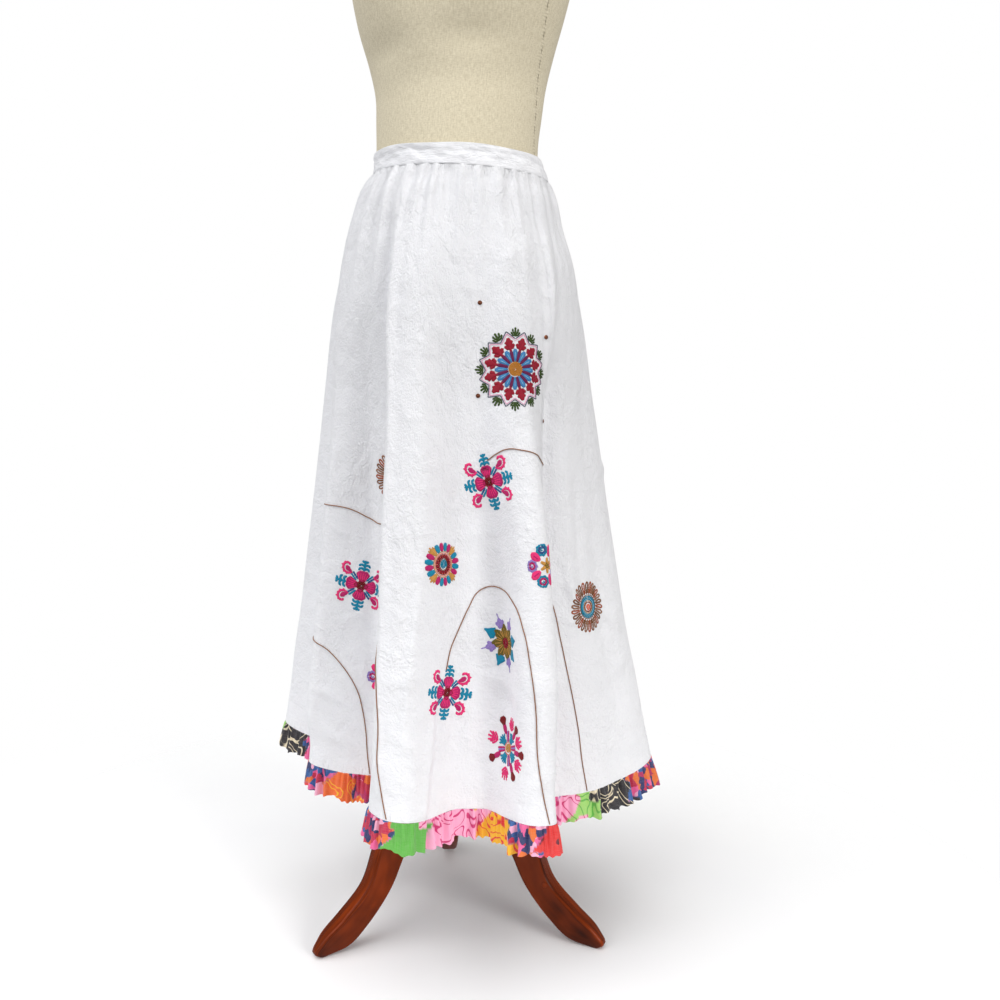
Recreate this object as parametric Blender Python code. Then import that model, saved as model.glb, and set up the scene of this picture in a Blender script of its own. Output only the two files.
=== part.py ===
"""A white cotton maxi skirt with a printed hem frill, on a dress form with three wooden legs.

The skirt is two flared panels, gathered into a waistband and finished with a frill. Its cloth
is a thin wall all round, open at the waist and at the hem. The dress form stands inside it and
carries it at the waist. Lengths are metres, +Z is up, and the front of the skirt faces -Y.
Angles go round the pole from the front (-Y) towards the wearer's left (+X).
"""
import math
from collections import namedtuple

import bmesh
import bpy
import numpy as np

# Skirt sizes
WAIST_SEAM_HEIGHT = 1.035
WAIST_DROP_SLOPE = 0.081
WAIST_DROP_ANGLE = 118.0
SIDE_SEAM_ANGLES = (-90.0, 90.0)
SKIRT_WALL = 0.0012
SEAM_GAP = 0.0003
GATHERS = 36
GATHER_UNEVENNESS = 0.14
GATHER_DRIFT_CYCLES = (7, 11)
SKIRT_COLUMNS = GATHERS * 5

# Down the skirt: a row for each ring of the cloth. The drop is the length of cloth above the
# ring, the halves are its plain oval, shift is how far that oval lies towards the low side of
# the waist, fold is how far it has opened into the hem's folds, and gather is how far its
# small gathers stand out.
Ring = namedtuple("Ring", "drop half_width half_depth shift fold gather")
SKIRT_RINGS = (
    Ring(0.000, 0.1227, 0.0988, 0.0060, 0.00, 0.0012),
    Ring(0.027, 0.1350, 0.1065, 0.0025, 0.01, 0.0034),
    Ring(0.062, 0.1440, 0.1135, 0.0000, 0.03, 0.0034),
    Ring(0.110, 0.1555, 0.1230, 0.0000, 0.08, 0.0022),
    Ring(0.175, 0.1630, 0.1290, -0.0020, 0.16, 0.0010),
    Ring(0.300, 0.1510, 0.1180, -0.0060, 0.38, 0.0000),
    Ring(0.520, 0.1440, 0.1130, -0.0090, 0.63, 0.0000),
    Ring(0.820, 0.1440, 0.1130, -0.0090, 1.00, 0.0000),
)

# Round the hem: a row for each crest, trough or shoulder of a fold, with its angle in degrees
# and its distance from the pole.
HemPoint = namedtuple("HemPoint", "angle radius")
HEM_PLAN = (
    HemPoint(-95, 0.262),
    HemPoint(-90, 0.284),
    HemPoint(-83, 0.289),
    HemPoint(-79, 0.225),
    HemPoint(-73, 0.184),
    HemPoint(-67, 0.184),
    HemPoint(-57, 0.208),
    HemPoint(-51, 0.208),
    HemPoint(-40, 0.160),
    HemPoint(-34, 0.126),
    HemPoint(-14, 0.118),
    HemPoint(-5, 0.205),
    HemPoint(6, 0.232),
    HemPoint(15, 0.224),
    HemPoint(21, 0.172),
    HemPoint(28, 0.150),
    HemPoint(45, 0.152),
    HemPoint(51, 0.226),
    HemPoint(61, 0.242),
    HemPoint(69, 0.160),
    HemPoint(82, 0.160),
    HemPoint(94, 0.198),
    HemPoint(107, 0.230),
    HemPoint(114, 0.262),
    HemPoint(121, 0.286),
    HemPoint(129, 0.290),
    HemPoint(141, 0.216),
    HemPoint(152, 0.206),
    HemPoint(163, 0.264),
    HemPoint(172, 0.270),
    HemPoint(184, 0.196),
    HemPoint(196, 0.191),
    HemPoint(207, 0.264),
    HemPoint(216, 0.274),
    HemPoint(228, 0.206),
    HemPoint(239, 0.200),
    HemPoint(250, 0.246),
)
FOLD_SOFTNESS = 2.3
PLAN_STEP = 0.5
SOFTENING_REACH = 12.0
OUTLINE_SAMPLES = 1500

# Waistband
BAND_WALL = 0.002
BAND_COLUMNS = GATHERS * 2
BandRing = namedtuple("BandRing", "rise half_width half_depth shift")
BAND_RINGS = (
    BandRing(0.0009, 0.1226, 0.0987, 0.0059),
    BandRing(0.0120, 0.1194, 0.0957, 0.0045),
    BandRing(0.0180, 0.1184, 0.0945, 0.0032),
    BandRing(0.0260, 0.1168, 0.0936, 0.0020),
)

# Hem frill
FRILL_DEPTH = 0.037
FRILL_WAVES = 78
FRILL_UNEVENNESS = 0.16
FRILL_DRIFT_CYCLES = (9, 23)
FRILL_WALL = 0.0015
FRILL_FLARE = 0.08
FRILL_COLUMNS = FRILL_WAVES * 5
FrillRing = namedtuple("FrillRing", "share wave")
FRILL_RINGS = (
    FrillRing(0.0, 0.0012),
    FrillRing(0.4, 0.0034),
    FrillRing(1.0, 0.0052),
)

# Dress form: a row for each level of the torso, whose oval may lie a little to the back
FormRing = namedtuple("FormRing", "height half_width half_depth back")
FORM_RINGS = (
    FormRing(0.790, 0.1500, 0.1120, 0.004),
    FormRing(0.802, 0.1560, 0.1180, 0.004),
    FormRing(0.860, 0.1580, 0.1200, 0.004),
    FormRing(0.930, 0.1500, 0.1160, 0.004),
    FormRing(0.980, 0.1350, 0.1055, 0.003),
    FormRing(1.010, 0.1230, 0.0970, 0.002),
    FormRing(1.040, 0.1145, 0.0912, 0.001),
    FormRing(1.070, 0.1134, 0.0901, 0.002),
    FormRing(1.110, 0.1160, 0.0925, 0.007),
    FormRing(1.149, 0.1194, 0.0955, 0.012),
    FormRing(1.196, 0.1310, 0.1040, 0.013),
    FormRing(1.238, 0.1435, 0.1110, 0.014),
    FormRing(1.280, 0.1530, 0.1150, 0.018),
    FormRing(1.330, 0.1600, 0.1160, 0.020),
    FormRing(1.380, 0.1690, 0.1120, 0.022),
    FormRing(1.420, 0.1690, 0.1020, 0.024),
    FormRing(1.448, 0.1500, 0.0880, 0.025),
    FormRing(1.466, 0.1140, 0.0730, 0.024),
    FormRing(1.482, 0.0760, 0.0620, 0.022),
    FormRing(1.505, 0.0600, 0.0570, 0.020),
    FormRing(1.545, 0.0570, 0.0550, 0.018),
)
FORM_COLUMNS = 36
BUST_HEIGHT = 1.320
BUST_HALF_SPACING = 0.082
BUST_REACH = 0.024
BUST_SPREAD = 0.062

# Stand
POLE_RADIUS = 0.016
POLE_SIDES = 24
HUB_SIDES = 6
HUB_APOTHEM = 0.030
HUB_BOTTOM = 0.150
HUB_TOP = 0.262
LEG_THICKNESS = 0.026
LEG_EDGE_BEVEL = 0.003
LEG_FIRST_ANGLE = -28.6
LEG_COUNT = 3
LEG_OUTLINE_STEPS = 3

# A leg from the side: a row for each corner point of its outline, with its distance out from
# the pole and its height, up the inside and then down the outside.
LegPoint = namedtuple("LegPoint", "out height")
LEG_INSIDE = (
    LegPoint(0.190, 0.000),
    LegPoint(0.150, 0.025),
    LegPoint(0.114, 0.067),
    LegPoint(0.087, 0.118),
    LegPoint(0.062, 0.154),
    LegPoint(HUB_APOTHEM + SEAM_GAP, 0.176),
)
LEG_OUTSIDE = (
    LegPoint(HUB_APOTHEM + SEAM_GAP, 0.250),
    LegPoint(0.074, 0.230),
    LegPoint(0.108, 0.182),
    LegPoint(0.130, 0.128),
    LegPoint(0.149, 0.081),
    LegPoint(0.185, 0.047),
    LegPoint(0.213, 0.025),
    LegPoint(0.226, 0.007),
    LegPoint(0.217, 0.000),
)

# Finishes
CLOTH_ROUGHNESS = 0.85
COTTON_WHITE = (0.90, 0.91, 0.93)
PRINT_ROSE = (0.84, 0.22, 0.30)
LINEN_BEIGE = (0.66, 0.60, 0.48)
MAHOGANY = (0.20, 0.055, 0.018)
SHARP_EDGE_ANGLE = 50


def clear_scene():
    """Remove every object, so that the file holds this model alone."""
    for scene_object in list(bpy.data.objects):
        bpy.data.objects.remove(scene_object, do_unlink=True)


def make_material(name, colour, roughness, sheen=0.0, coat=0.0):
    """A plain Principled material for one piece."""
    material = bpy.data.materials.new(name)
    material.use_nodes = True
    shader = material.node_tree.nodes["Principled BSDF"]
    shader.inputs["Base Color"].default_value = (*colour, 1.0)
    shader.inputs["Roughness"].default_value = roughness
    shader.inputs["Metallic"].default_value = 0.0
    shader.inputs["Sheen Weight"].default_value = sheen
    shader.inputs["Coat Weight"].default_value = coat
    material.diffuse_color = (*colour, 1.0)
    return material


def direction(angle):
    """Unit vector in plan at an angle from the front, as an array whose last axis is x, y."""
    turn = np.radians(angle)
    return np.stack([np.sin(turn), -np.cos(turn)], axis=-1)


def oval_radius(half_width, half_depth, angle):
    """Distance from the centre of an oval to its rim at an angle."""
    turn = np.radians(angle)
    return 1.0 / np.sqrt((np.sin(turn) / half_width) ** 2 + (np.cos(turn) / half_depth) ** 2)


def soften_hem_plan():
    """The hem's plan once round, as angles in even steps and the radius at each.

    The table's points are joined by straight lines, and each place then takes the mean of its
    neighbours, weighted by a bell curve whose width is the fold softness.
    """
    angles = np.arange(-180.0, 180.0, PLAN_STEP)
    table = np.array([(point.angle, point.radius) for point in HEM_PLAN])
    plain = np.interp(angles, table[:, 0], table[:, 1], period=360.0)
    reach = round(SOFTENING_REACH / PLAN_STEP)
    steps = np.arange(-reach, reach + 1)
    bell = np.exp(-0.5 * (steps * PLAN_STEP / FOLD_SOFTNESS) ** 2)
    bell /= bell.sum()
    soft = sum(weight * np.roll(plain, step) for step, weight in zip(steps, bell))
    return angles, soft


HEM_ANGLES, HEM_RADII = soften_hem_plan()


def hem_radius(angle):
    """Distance from the pole to the skirt's hem at an angle."""
    return np.interp(angle, HEM_ANGLES, HEM_RADII, period=360.0)


def waist_radius(angle):
    """Distance from the waist's centre to the waist seam at an angle."""
    return oval_radius(SKIRT_RINGS[0].half_width, SKIRT_RINGS[0].half_depth, angle)


def even_angles(radius_at, share):
    """Angles at which the cloth lies, evenly by length between one side seam and the other.

    A share of 0 is the wearer's right side seam, 0.5 the left one and 1 the right one again.
    """
    first, second = SIDE_SEAM_ANGLES
    result = np.empty_like(share)
    for start, end, low in ((first, second, 0.0), (second, first + 360.0, 0.5)):
        dense = np.linspace(start, end, OUTLINE_SAMPLES)
        points = direction(dense) * radius_at(dense)[:, None]
        steps = np.linalg.norm(np.diff(points, axis=0), axis=1)
        length = np.concatenate([[0.0], np.cumsum(steps)])
        inside = (share >= low) & (share <= low + 0.5)
        part_share = (share[inside] - low) * 2.0
        result[inside] = np.interp(part_share * length[-1], length, dense)
    return result


def uneven_wave(share, count, unevenness, drift_cycles):
    """A wave from -1 to 1, so many times round, whose crests drift a little to and fro.

    It always has a crest at the side seams, so that both panels meet there alike.
    """
    drift = unevenness * sum(np.sin(2 * np.pi * cycles * share) for cycles in drift_cycles)
    return np.cos(2 * np.pi * (count * share + drift))


def gather_wave(share):
    """Height of the waist gathers round the skirt."""
    return uneven_wave(share, GATHERS, GATHER_UNEVENNESS, GATHER_DRIFT_CYCLES)


def tilted_height(x, y, height):
    """Height of a point of a waist ring, which hangs lower towards one side."""
    fall = direction(WAIST_DROP_ANGLE)
    return height - WAIST_DROP_SLOPE * (x * fall[0] + y * fall[1])


def grid_normals(points):
    """Outward unit normals of a grid whose columns close into a tube."""
    around = np.roll(points, -1, axis=1) - np.roll(points, 1, axis=1)
    down = np.gradient(points, axis=0)
    normals = np.cross(down, around)
    return normals / np.linalg.norm(normals, axis=2, keepdims=True)


def skirt_grid(columns):
    """Middle of the skirt's wall: a row for each ring, and a column every share of the way round.

    Each ring is its plain oval opened towards the hem's plan. The cloth between two rings has a
    fixed length, so a column that runs outwards hangs less far down.
    """
    share = np.arange(columns) / columns
    waist_angle = even_angles(waist_radius, share)
    hem_angle = even_angles(hem_radius, share)
    lean = direction(WAIST_DROP_ANGLE)
    rows = []
    above = None
    for ring in SKIRT_RINGS:
        angle = (1 - ring.fold) * waist_angle + ring.fold * hem_angle
        oval = oval_radius(ring.half_width, ring.half_depth, angle)
        radius = (1 - ring.fold) * oval + ring.fold * hem_radius(angle)
        plain = direction(angle) * radius[:, None] + lean * ring.shift * (1 - ring.fold)
        if above is None:
            height = tilted_height(plain[:, 0], plain[:, 1], WAIST_SEAM_HEIGHT)
        else:
            sideways = np.linalg.norm(plain - plain_above, axis=1)
            height = height - np.sqrt((ring.drop - above.drop) ** 2 - sideways ** 2)
        gathered = plain + direction(angle) * (ring.gather * gather_wave(share))[:, None]
        rows.append(np.column_stack([gathered, height]))
        above, plain_above = ring, plain
    return np.array(rows)


def band_grid(columns):
    """Middle of the waistband's wall, from its seam up to its top edge."""
    share = np.arange(columns) / columns
    angle = even_angles(waist_radius, share)
    lean = direction(WAIST_DROP_ANGLE)
    rows = []
    for ring in reversed(BAND_RINGS):
        radius = oval_radius(ring.half_width, ring.half_depth, angle)
        plan = direction(angle) * radius[:, None] + lean * ring.shift
        height = tilted_height(plan[:, 0], plan[:, 1], WAIST_SEAM_HEIGHT + ring.rise)
        rows.append(np.column_stack([plan, height]))
    return np.array(rows)


def frill_grid(columns):
    """Middle of the hem frill's wall: it goes on down from the hem, waved and a little flared."""
    skirt = skirt_grid(columns)
    hem = skirt[-1]
    down = skirt[-1] - skirt[-2]
    down /= np.linalg.norm(down, axis=1, keepdims=True)
    out = grid_normals(skirt)[-1]
    share = np.arange(columns) / columns
    wave = uneven_wave(share, FRILL_WAVES, FRILL_UNEVENNESS, FRILL_DRIFT_CYCLES)
    rows = []
    for ring in FRILL_RINGS:
        fall = SEAM_GAP + (FRILL_DEPTH - SEAM_GAP) * ring.share
        swing = ring.wave * wave + FRILL_FLARE * fall
        rows.append(hem + down * fall + out * swing[:, None])
    return np.array(rows)


def cloth_wall(name, points, first, last, thickness, colour):
    """One panel as a closed wall, from one column of a closed grid to another.

    The grid's points are moved out and in by half the thickness, and the panel's two side
    edges are drawn back by half a seam gap.
    """
    normals = grid_normals(points)
    count = points.shape[1]
    pick = np.arange(first, last + 1) % count
    panel = points[:, pick].copy()
    facing = normals[:, pick]
    for edge, beside in ((0, 1), (-1, -2)):
        inward = panel[:, beside] - panel[:, edge]
        inward /= np.linalg.norm(inward, axis=1, keepdims=True)
        panel[:, edge] += inward * SEAM_GAP / 2
    outer = panel + facing * thickness / 2
    inner = panel - facing * thickness / 2
    rows, columns = panel.shape[:2]
    vertices = np.concatenate([outer.reshape(-1, 3), inner.reshape(-1, 3)])
    index = np.arange(rows * columns).reshape(rows, columns)
    back = index + rows * columns
    faces = []
    for row in range(rows - 1):
        for column in range(columns - 1):
            a, b = index[row, column], index[row, column + 1]
            c, d = index[row + 1, column + 1], index[row + 1, column]
            faces.append((a, d, c, b))
            faces.append((back[row, column], back[row, column + 1],
                          back[row + 1, column + 1], back[row + 1, column]))
    rim = [*index[0, :], *index[1:, -1], *index[-1, -2::-1], *index[-2:0:-1, 0]]
    offset = rows * columns
    for one, two in zip(rim, rim[1:] + rim[:1]):
        faces.append((one, two, two + offset, one + offset))
    cotton = make_material(f"{name}_cotton", colour, CLOTH_ROUGHNESS, sheen=0.2)
    return mesh_object(name, vertices, faces, cotton)


def mesh_object(name, vertices, faces, material):
    """A smooth-shaded object from computed points and faces, with its faces turned outwards."""
    mesh = bpy.data.meshes.new(name)
    mesh.from_pydata([tuple(map(float, vertex)) for vertex in vertices], [],
                     [tuple(map(int, face)) for face in faces])
    shape = bmesh.new()
    shape.from_mesh(mesh)
    bmesh.ops.recalc_face_normals(shape, faces=shape.faces)
    shape.to_mesh(mesh)
    shape.free()
    mesh.shade_smooth()
    mesh.set_sharp_from_angle(angle=math.radians(SHARP_EDGE_ANGLE))
    mesh.materials.append(material)
    return bpy.data.objects.new(name, mesh)


def make_skirt_panels():
    """The front and back panels, joined at the side seams."""
    points = skirt_grid(SKIRT_COLUMNS)
    half = SKIRT_COLUMNS // 2
    return [
        cloth_wall("skirt_front", points, 0, half, SKIRT_WALL, COTTON_WHITE),
        cloth_wall("skirt_back", points, half, 2 * half, SKIRT_WALL, COTTON_WHITE),
    ]


def make_waistband():
    """The waistband's front and back lengths."""
    points = band_grid(BAND_COLUMNS)
    half = BAND_COLUMNS // 2
    return [
        cloth_wall("waistband_front", points, 0, half, BAND_WALL, COTTON_WHITE),
        cloth_wall("waistband_back", points, half, 2 * half, BAND_WALL, COTTON_WHITE),
    ]


def make_frill():
    """The gathered frill's front and back lengths."""
    points = frill_grid(FRILL_COLUMNS)
    half = FRILL_COLUMNS // 2
    return [
        cloth_wall("frill_front", points, 0, half, FRILL_WALL, PRINT_ROSE),
        cloth_wall("frill_back", points, half, 2 * half, FRILL_WALL, PRINT_ROSE),
    ]


def form_points():
    """Rings of the torso from its flat underside up to the neck, with a soft bust."""
    turn = 2 * math.pi * np.arange(FORM_COLUMNS) / FORM_COLUMNS
    rows = []
    for ring in FORM_RINGS:
        x = ring.half_width * np.sin(turn)
        y = ring.back - ring.half_depth * np.cos(turn)
        rise = (ring.height - BUST_HEIGHT) / BUST_SPREAD
        side = (np.abs(x) - BUST_HALF_SPACING) / BUST_SPREAD
        bust = BUST_REACH * np.exp(-rise ** 2 - side ** 2) * (np.cos(turn) > 0)
        rows.append(np.column_stack([x, y - bust, np.full_like(x, ring.height)]))
    return np.array(rows)


def make_form():
    """The whole limbless torso that the skirt is worn on."""
    points = form_points()
    rows, columns = points.shape[:2]
    index = np.arange(rows * columns).reshape(rows, columns)
    faces = []
    for row in range(rows - 1):
        for column in range(columns):
            right = (column + 1) % columns
            faces.append((index[row, column], index[row, right],
                          index[row + 1, right], index[row + 1, column]))
    faces.append(tuple(index[0, ::-1]))
    faces.append(tuple(index[-1, :]))
    linen = make_material("form_linen", LINEN_BEIGE, 0.9, sheen=0.1)
    return mesh_object("form_torso", points.reshape(-1, 3), faces, linen)


def make_prism(name, radius, bottom, top, sides, material):
    """A plain upright cylinder or prism standing on the pole's axis."""
    shape = bmesh.new()
    bmesh.ops.create_cone(shape, cap_ends=True, segments=sides, radius1=radius,
                          radius2=radius, depth=top - bottom)
    mesh = bpy.data.meshes.new(name)
    shape.to_mesh(mesh)
    shape.free()
    mesh.shade_smooth()
    mesh.set_sharp_from_angle(angle=math.radians(SHARP_EDGE_ANGLE))
    mesh.materials.append(material)
    prism = bpy.data.objects.new(name, mesh)
    prism.location = (0.0, 0.0, (top + bottom) / 2)
    return prism


def make_pole():
    """The pole between the hub of the legs and the torso's underside."""
    wood = make_material("pole_wood", MAHOGANY, 0.35, coat=0.4)
    bottom = HUB_TOP + SEAM_GAP
    top = FORM_RINGS[0].height - SEAM_GAP
    return make_prism("stand_pole", POLE_RADIUS, bottom, top, POLE_SIDES, wood)


def make_hub():
    """The six-sided block that the legs are screwed to, with a flat towards each leg."""
    wood = make_material("hub_wood", MAHOGANY, 0.35, coat=0.4)
    radius = HUB_APOTHEM / math.cos(math.pi / HUB_SIDES)
    hub = make_prism("stand_hub", radius, HUB_BOTTOM, HUB_TOP, HUB_SIDES, wood)
    hub.rotation_euler = (0.0, 0.0, math.radians(LEG_FIRST_ANGLE) + math.pi / HUB_SIDES)
    return hub


def smooth_line(points, steps):
    """Points along a smooth curve through the given ones (Catmull-Rom)."""
    line = np.array(points, dtype=float)
    padded = np.vstack([2 * line[0] - line[1], line, 2 * line[-1] - line[-2]])
    curve = []
    for start in range(len(line) - 1):
        before, here, there, after = padded[start:start + 4]
        for step in range(steps):
            t = step / steps
            curve.append(0.5 * (2 * here + (there - before) * t
                                + (2 * before - 5 * here + 4 * there - after) * t ** 2
                                + (3 * here - before - 3 * there + after) * t ** 3))
    curve.append(line[-1])
    return curve


def make_leg(number):
    """One curved leg: its side outline as a flat curve, given the leg's thickness."""
    outline = smooth_line(LEG_INSIDE, LEG_OUTLINE_STEPS) + smooth_line(LEG_OUTSIDE, LEG_OUTLINE_STEPS)
    curve = bpy.data.curves.new(f"leg_outline_{number}", "CURVE")
    curve.dimensions = "2D"
    curve.fill_mode = "BOTH"
    curve.extrude = LEG_THICKNESS / 2 - LEG_EDGE_BEVEL
    curve.bevel_depth = LEG_EDGE_BEVEL
    curve.bevel_resolution = 0
    curve.offset = -LEG_EDGE_BEVEL
    spline = curve.splines.new("POLY")
    spline.points.add(len(outline) - 1)
    for point, (out, height) in zip(spline.points, outline):
        point.co = (out, height, 0.0, 1.0)
    spline.use_cyclic_u = True
    curve.materials.append(make_material(f"leg_wood_{number}", MAHOGANY, 0.3, coat=0.5))
    leg = bpy.data.objects.new(f"stand_leg_{number}", curve)
    turn = LEG_FIRST_ANGLE + (number - 1) * 360.0 / LEG_COUNT
    leg.rotation_euler = (math.radians(90), 0.0, math.radians(turn - 90.0))
    return leg


def world_box(pieces):
    """Lowest and highest corner of the pieces as the viewport shows them."""
    bpy.context.view_layer.update()
    graph = bpy.context.evaluated_depsgraph_get()
    corners = []
    for piece in pieces:
        shown = piece.evaluated_get(graph)
        mesh = shown.to_mesh()
        corners += [shown.matrix_world @ vertex.co for vertex in mesh.vertices]
        shown.to_mesh_clear()
    table = np.array(corners)
    return table.min(axis=0), table.max(axis=0)


def main():
    """Build every piece and stand the whole on the floor, centred on the origin."""
    clear_scene()
    collection = bpy.data.collections.new("maxi_skirt_on_dress_form")
    bpy.context.scene.collection.children.link(collection)
    pieces = make_waistband() + make_skirt_panels() + make_frill()
    pieces += [make_form(), make_pole(), make_hub()]
    pieces += [make_leg(number) for number in range(1, LEG_COUNT + 1)]
    centre = bpy.data.objects.new("pole_axis", None)
    collection.objects.link(centre)
    for piece in pieces:
        collection.objects.link(piece)
        piece.parent = centre
    low, high = world_box(pieces)
    middle = (low + high) / 2
    centre.location = (-middle[0], -middle[1], -low[2])
    bpy.context.view_layer.update()


main()
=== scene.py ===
"""Looks of a white cotton maxi skirt, embroidered with flowers, on a linen dress form.

The skirt's panels, waistband and frill, the torso and the legs are surfaces worked out from
their sizes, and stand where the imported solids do. Embroidery, cords and sequins lie on the
cloth. Lengths are metres. Angles in degrees go round the pole from the front (-Y) towards the
wearer's left (+X). A place on the cloth is its share of the way round, from 0 at the wearer's
right side seam over 0.5 at the left one, and its length of cloth down from the waist seam.
"""

import logging
import math
from dataclasses import dataclass, field, replace
from enum import Enum
from typing import NamedTuple

import bpy
import numpy as np
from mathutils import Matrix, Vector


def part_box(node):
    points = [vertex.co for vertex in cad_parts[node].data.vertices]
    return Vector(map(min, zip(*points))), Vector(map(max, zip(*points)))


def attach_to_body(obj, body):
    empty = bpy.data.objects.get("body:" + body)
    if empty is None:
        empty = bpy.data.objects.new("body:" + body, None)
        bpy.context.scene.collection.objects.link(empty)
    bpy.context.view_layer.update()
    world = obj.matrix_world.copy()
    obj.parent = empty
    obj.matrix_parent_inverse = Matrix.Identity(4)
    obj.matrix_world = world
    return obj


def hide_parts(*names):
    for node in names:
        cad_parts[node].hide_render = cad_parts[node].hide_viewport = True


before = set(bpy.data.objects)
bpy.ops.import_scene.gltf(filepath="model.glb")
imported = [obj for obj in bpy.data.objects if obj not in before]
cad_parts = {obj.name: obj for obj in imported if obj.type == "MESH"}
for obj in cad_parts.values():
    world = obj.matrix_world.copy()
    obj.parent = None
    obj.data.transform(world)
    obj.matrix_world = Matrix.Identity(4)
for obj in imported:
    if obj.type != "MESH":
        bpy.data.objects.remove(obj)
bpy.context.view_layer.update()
BODY = "root"
LOG = logging.getLogger("maxi_skirt")


class Ring(NamedTuple):
    """A level of the skirt: its drop, its plain oval, and how far folds and gathers open it."""

    drop: float
    half_width: float
    half_depth: float
    shift: float
    fold: float
    gather: float


class HemPoint(NamedTuple):
    """A crest, trough or shoulder of the hem's folds, in plan."""

    angle: float
    radius: float


class BandRing(NamedTuple):
    """A level of the waistband, by its rise over the waist seam."""

    rise: float
    half_width: float
    half_depth: float
    shift: float


class FormRing(NamedTuple):
    """A level of the torso, whose oval may lie a little to the back."""

    height: float
    half_width: float
    half_depth: float
    back: float


class LegPoint(NamedTuple):
    """A corner of a leg's side outline: distance out from the pole, and height."""

    out: float
    height: float


class Fold(NamedTuple):
    """A long ridge (or trough, if its depth is negative) down through a few places.

    A place is a pair of its share round and its length down. The ends are the shares of the
    fold's length over which it rises at its top and fades at its bottom.
    """

    path: tuple
    width: float
    depth: float
    ends: tuple


class Gather(NamedTuple):
    """A ridge or trough that starts at the waist seam and fades out further down."""

    top: float
    low: float
    length: float
    width: float
    depth: float


class Wave(NamedTuple):
    """A wave round a piece: its share of the height, its count, its lean and its start."""

    share: float
    count: int
    lean: float
    start: float


class DriftingWave(NamedTuple):
    """A wave whose crests drift: its share of the height, count, drift, and drift's cycles."""

    share: float
    count: int
    unevenness: float
    cycles: tuple


class Crease(NamedTuple):
    """A short straight ridge or trough from one place on the cloth to another."""

    start: tuple
    end: tuple
    width: float
    depth: float


class Place(NamedTuple):
    """Where a motif's centre lies on the cloth, its radius, and its turn in degrees.

    The last field is the share of its full breadth that is left where it was sewn narrower.
    """

    round: float
    down: float
    radius: float
    turn: float
    narrow: float = 1.0


# The waist seam: its height at the pole, how it drops towards the skirt's low side, and where
# the side seams meet it
WAIST_SEAM_HEIGHT = 1.035
WAIST_DROP_SLOPE = 0.081
WAIST_DROP_ANGLE = 118.0
SIDE_SEAM_ANGLES = (-90.0, 90.0)
SEAM_GAP = 0.0003

# Down the skirt, as in the CAD part but with smaller gathers
SKIRT_RINGS = (
    Ring(0.000, 0.1227, 0.0988, 0.0060, 0.00, 0.0012),
    Ring(0.027, 0.1350, 0.1065, 0.0025, 0.01, 0.0030),
    Ring(0.062, 0.1440, 0.1135, 0.0000, 0.03, 0.0026),
    Ring(0.110, 0.1555, 0.1230, 0.0000, 0.08, 0.0016),
    Ring(0.175, 0.1630, 0.1290, -0.0020, 0.16, 0.0010),
    Ring(0.300, 0.1510, 0.1180, -0.0060, 0.38, 0.0000),
    Ring(0.520, 0.1440, 0.1130, -0.0090, 0.63, 0.0000),
    Ring(0.820, 0.1440, 0.1130, -0.0090, 1.00, 0.0000),
)

# Round the hem, as in the CAD part
HEM_PLAN = (
    HemPoint(-95, 0.262), HemPoint(-90, 0.284), HemPoint(-83, 0.289), HemPoint(-79, 0.225),
    HemPoint(-73, 0.184), HemPoint(-67, 0.184), HemPoint(-57, 0.208), HemPoint(-51, 0.208),
    HemPoint(-40, 0.160), HemPoint(-34, 0.126), HemPoint(-14, 0.118), HemPoint(-5, 0.205),
    HemPoint(6, 0.232), HemPoint(15, 0.224), HemPoint(21, 0.172), HemPoint(28, 0.150),
    HemPoint(45, 0.152), HemPoint(51, 0.226), HemPoint(61, 0.242), HemPoint(69, 0.160),
    HemPoint(82, 0.160), HemPoint(94, 0.198), HemPoint(107, 0.230), HemPoint(114, 0.262),
    HemPoint(121, 0.286), HemPoint(129, 0.290), HemPoint(141, 0.216), HemPoint(152, 0.206),
    HemPoint(163, 0.264), HemPoint(172, 0.270), HemPoint(184, 0.196), HemPoint(196, 0.191),
    HemPoint(207, 0.264), HemPoint(216, 0.274), HemPoint(228, 0.206), HemPoint(239, 0.200),
    HemPoint(250, 0.246),
)

# Up the waistband; its lower edge reaches a little under the seam
BAND_RINGS = (
    BandRing(-0.0012, 0.1232, 0.0993, 0.0060),
    BandRing(0.0120, 0.1194, 0.0957, 0.0045),
    BandRing(0.0180, 0.1184, 0.0945, 0.0032),
    BandRing(0.0260, 0.1168, 0.0936, 0.0020),
)

# Up the torso, as in the CAD part
FORM_RINGS = (
    FormRing(0.790, 0.1500, 0.1120, 0.004), FormRing(0.802, 0.1560, 0.1180, 0.004),
    FormRing(0.860, 0.1580, 0.1200, 0.004), FormRing(0.930, 0.1500, 0.1160, 0.004),
    FormRing(0.980, 0.1350, 0.1055, 0.003), FormRing(1.010, 0.1230, 0.0970, 0.002),
    FormRing(1.040, 0.1145, 0.0912, 0.001), FormRing(1.070, 0.1134, 0.0901, 0.002),
    FormRing(1.110, 0.1160, 0.0925, 0.007), FormRing(1.149, 0.1194, 0.0955, 0.012),
    FormRing(1.196, 0.1310, 0.1040, 0.013), FormRing(1.238, 0.1435, 0.1110, 0.014),
    FormRing(1.280, 0.1530, 0.1150, 0.018), FormRing(1.330, 0.1600, 0.1160, 0.020),
    FormRing(1.380, 0.1690, 0.1120, 0.022), FormRing(1.420, 0.1690, 0.1020, 0.024),
    FormRing(1.448, 0.1500, 0.0880, 0.025), FormRing(1.466, 0.1140, 0.0730, 0.024),
    FormRing(1.482, 0.0760, 0.0620, 0.022), FormRing(1.505, 0.0600, 0.0570, 0.020),
    FormRing(1.545, 0.0570, 0.0550, 0.018),
)

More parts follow.
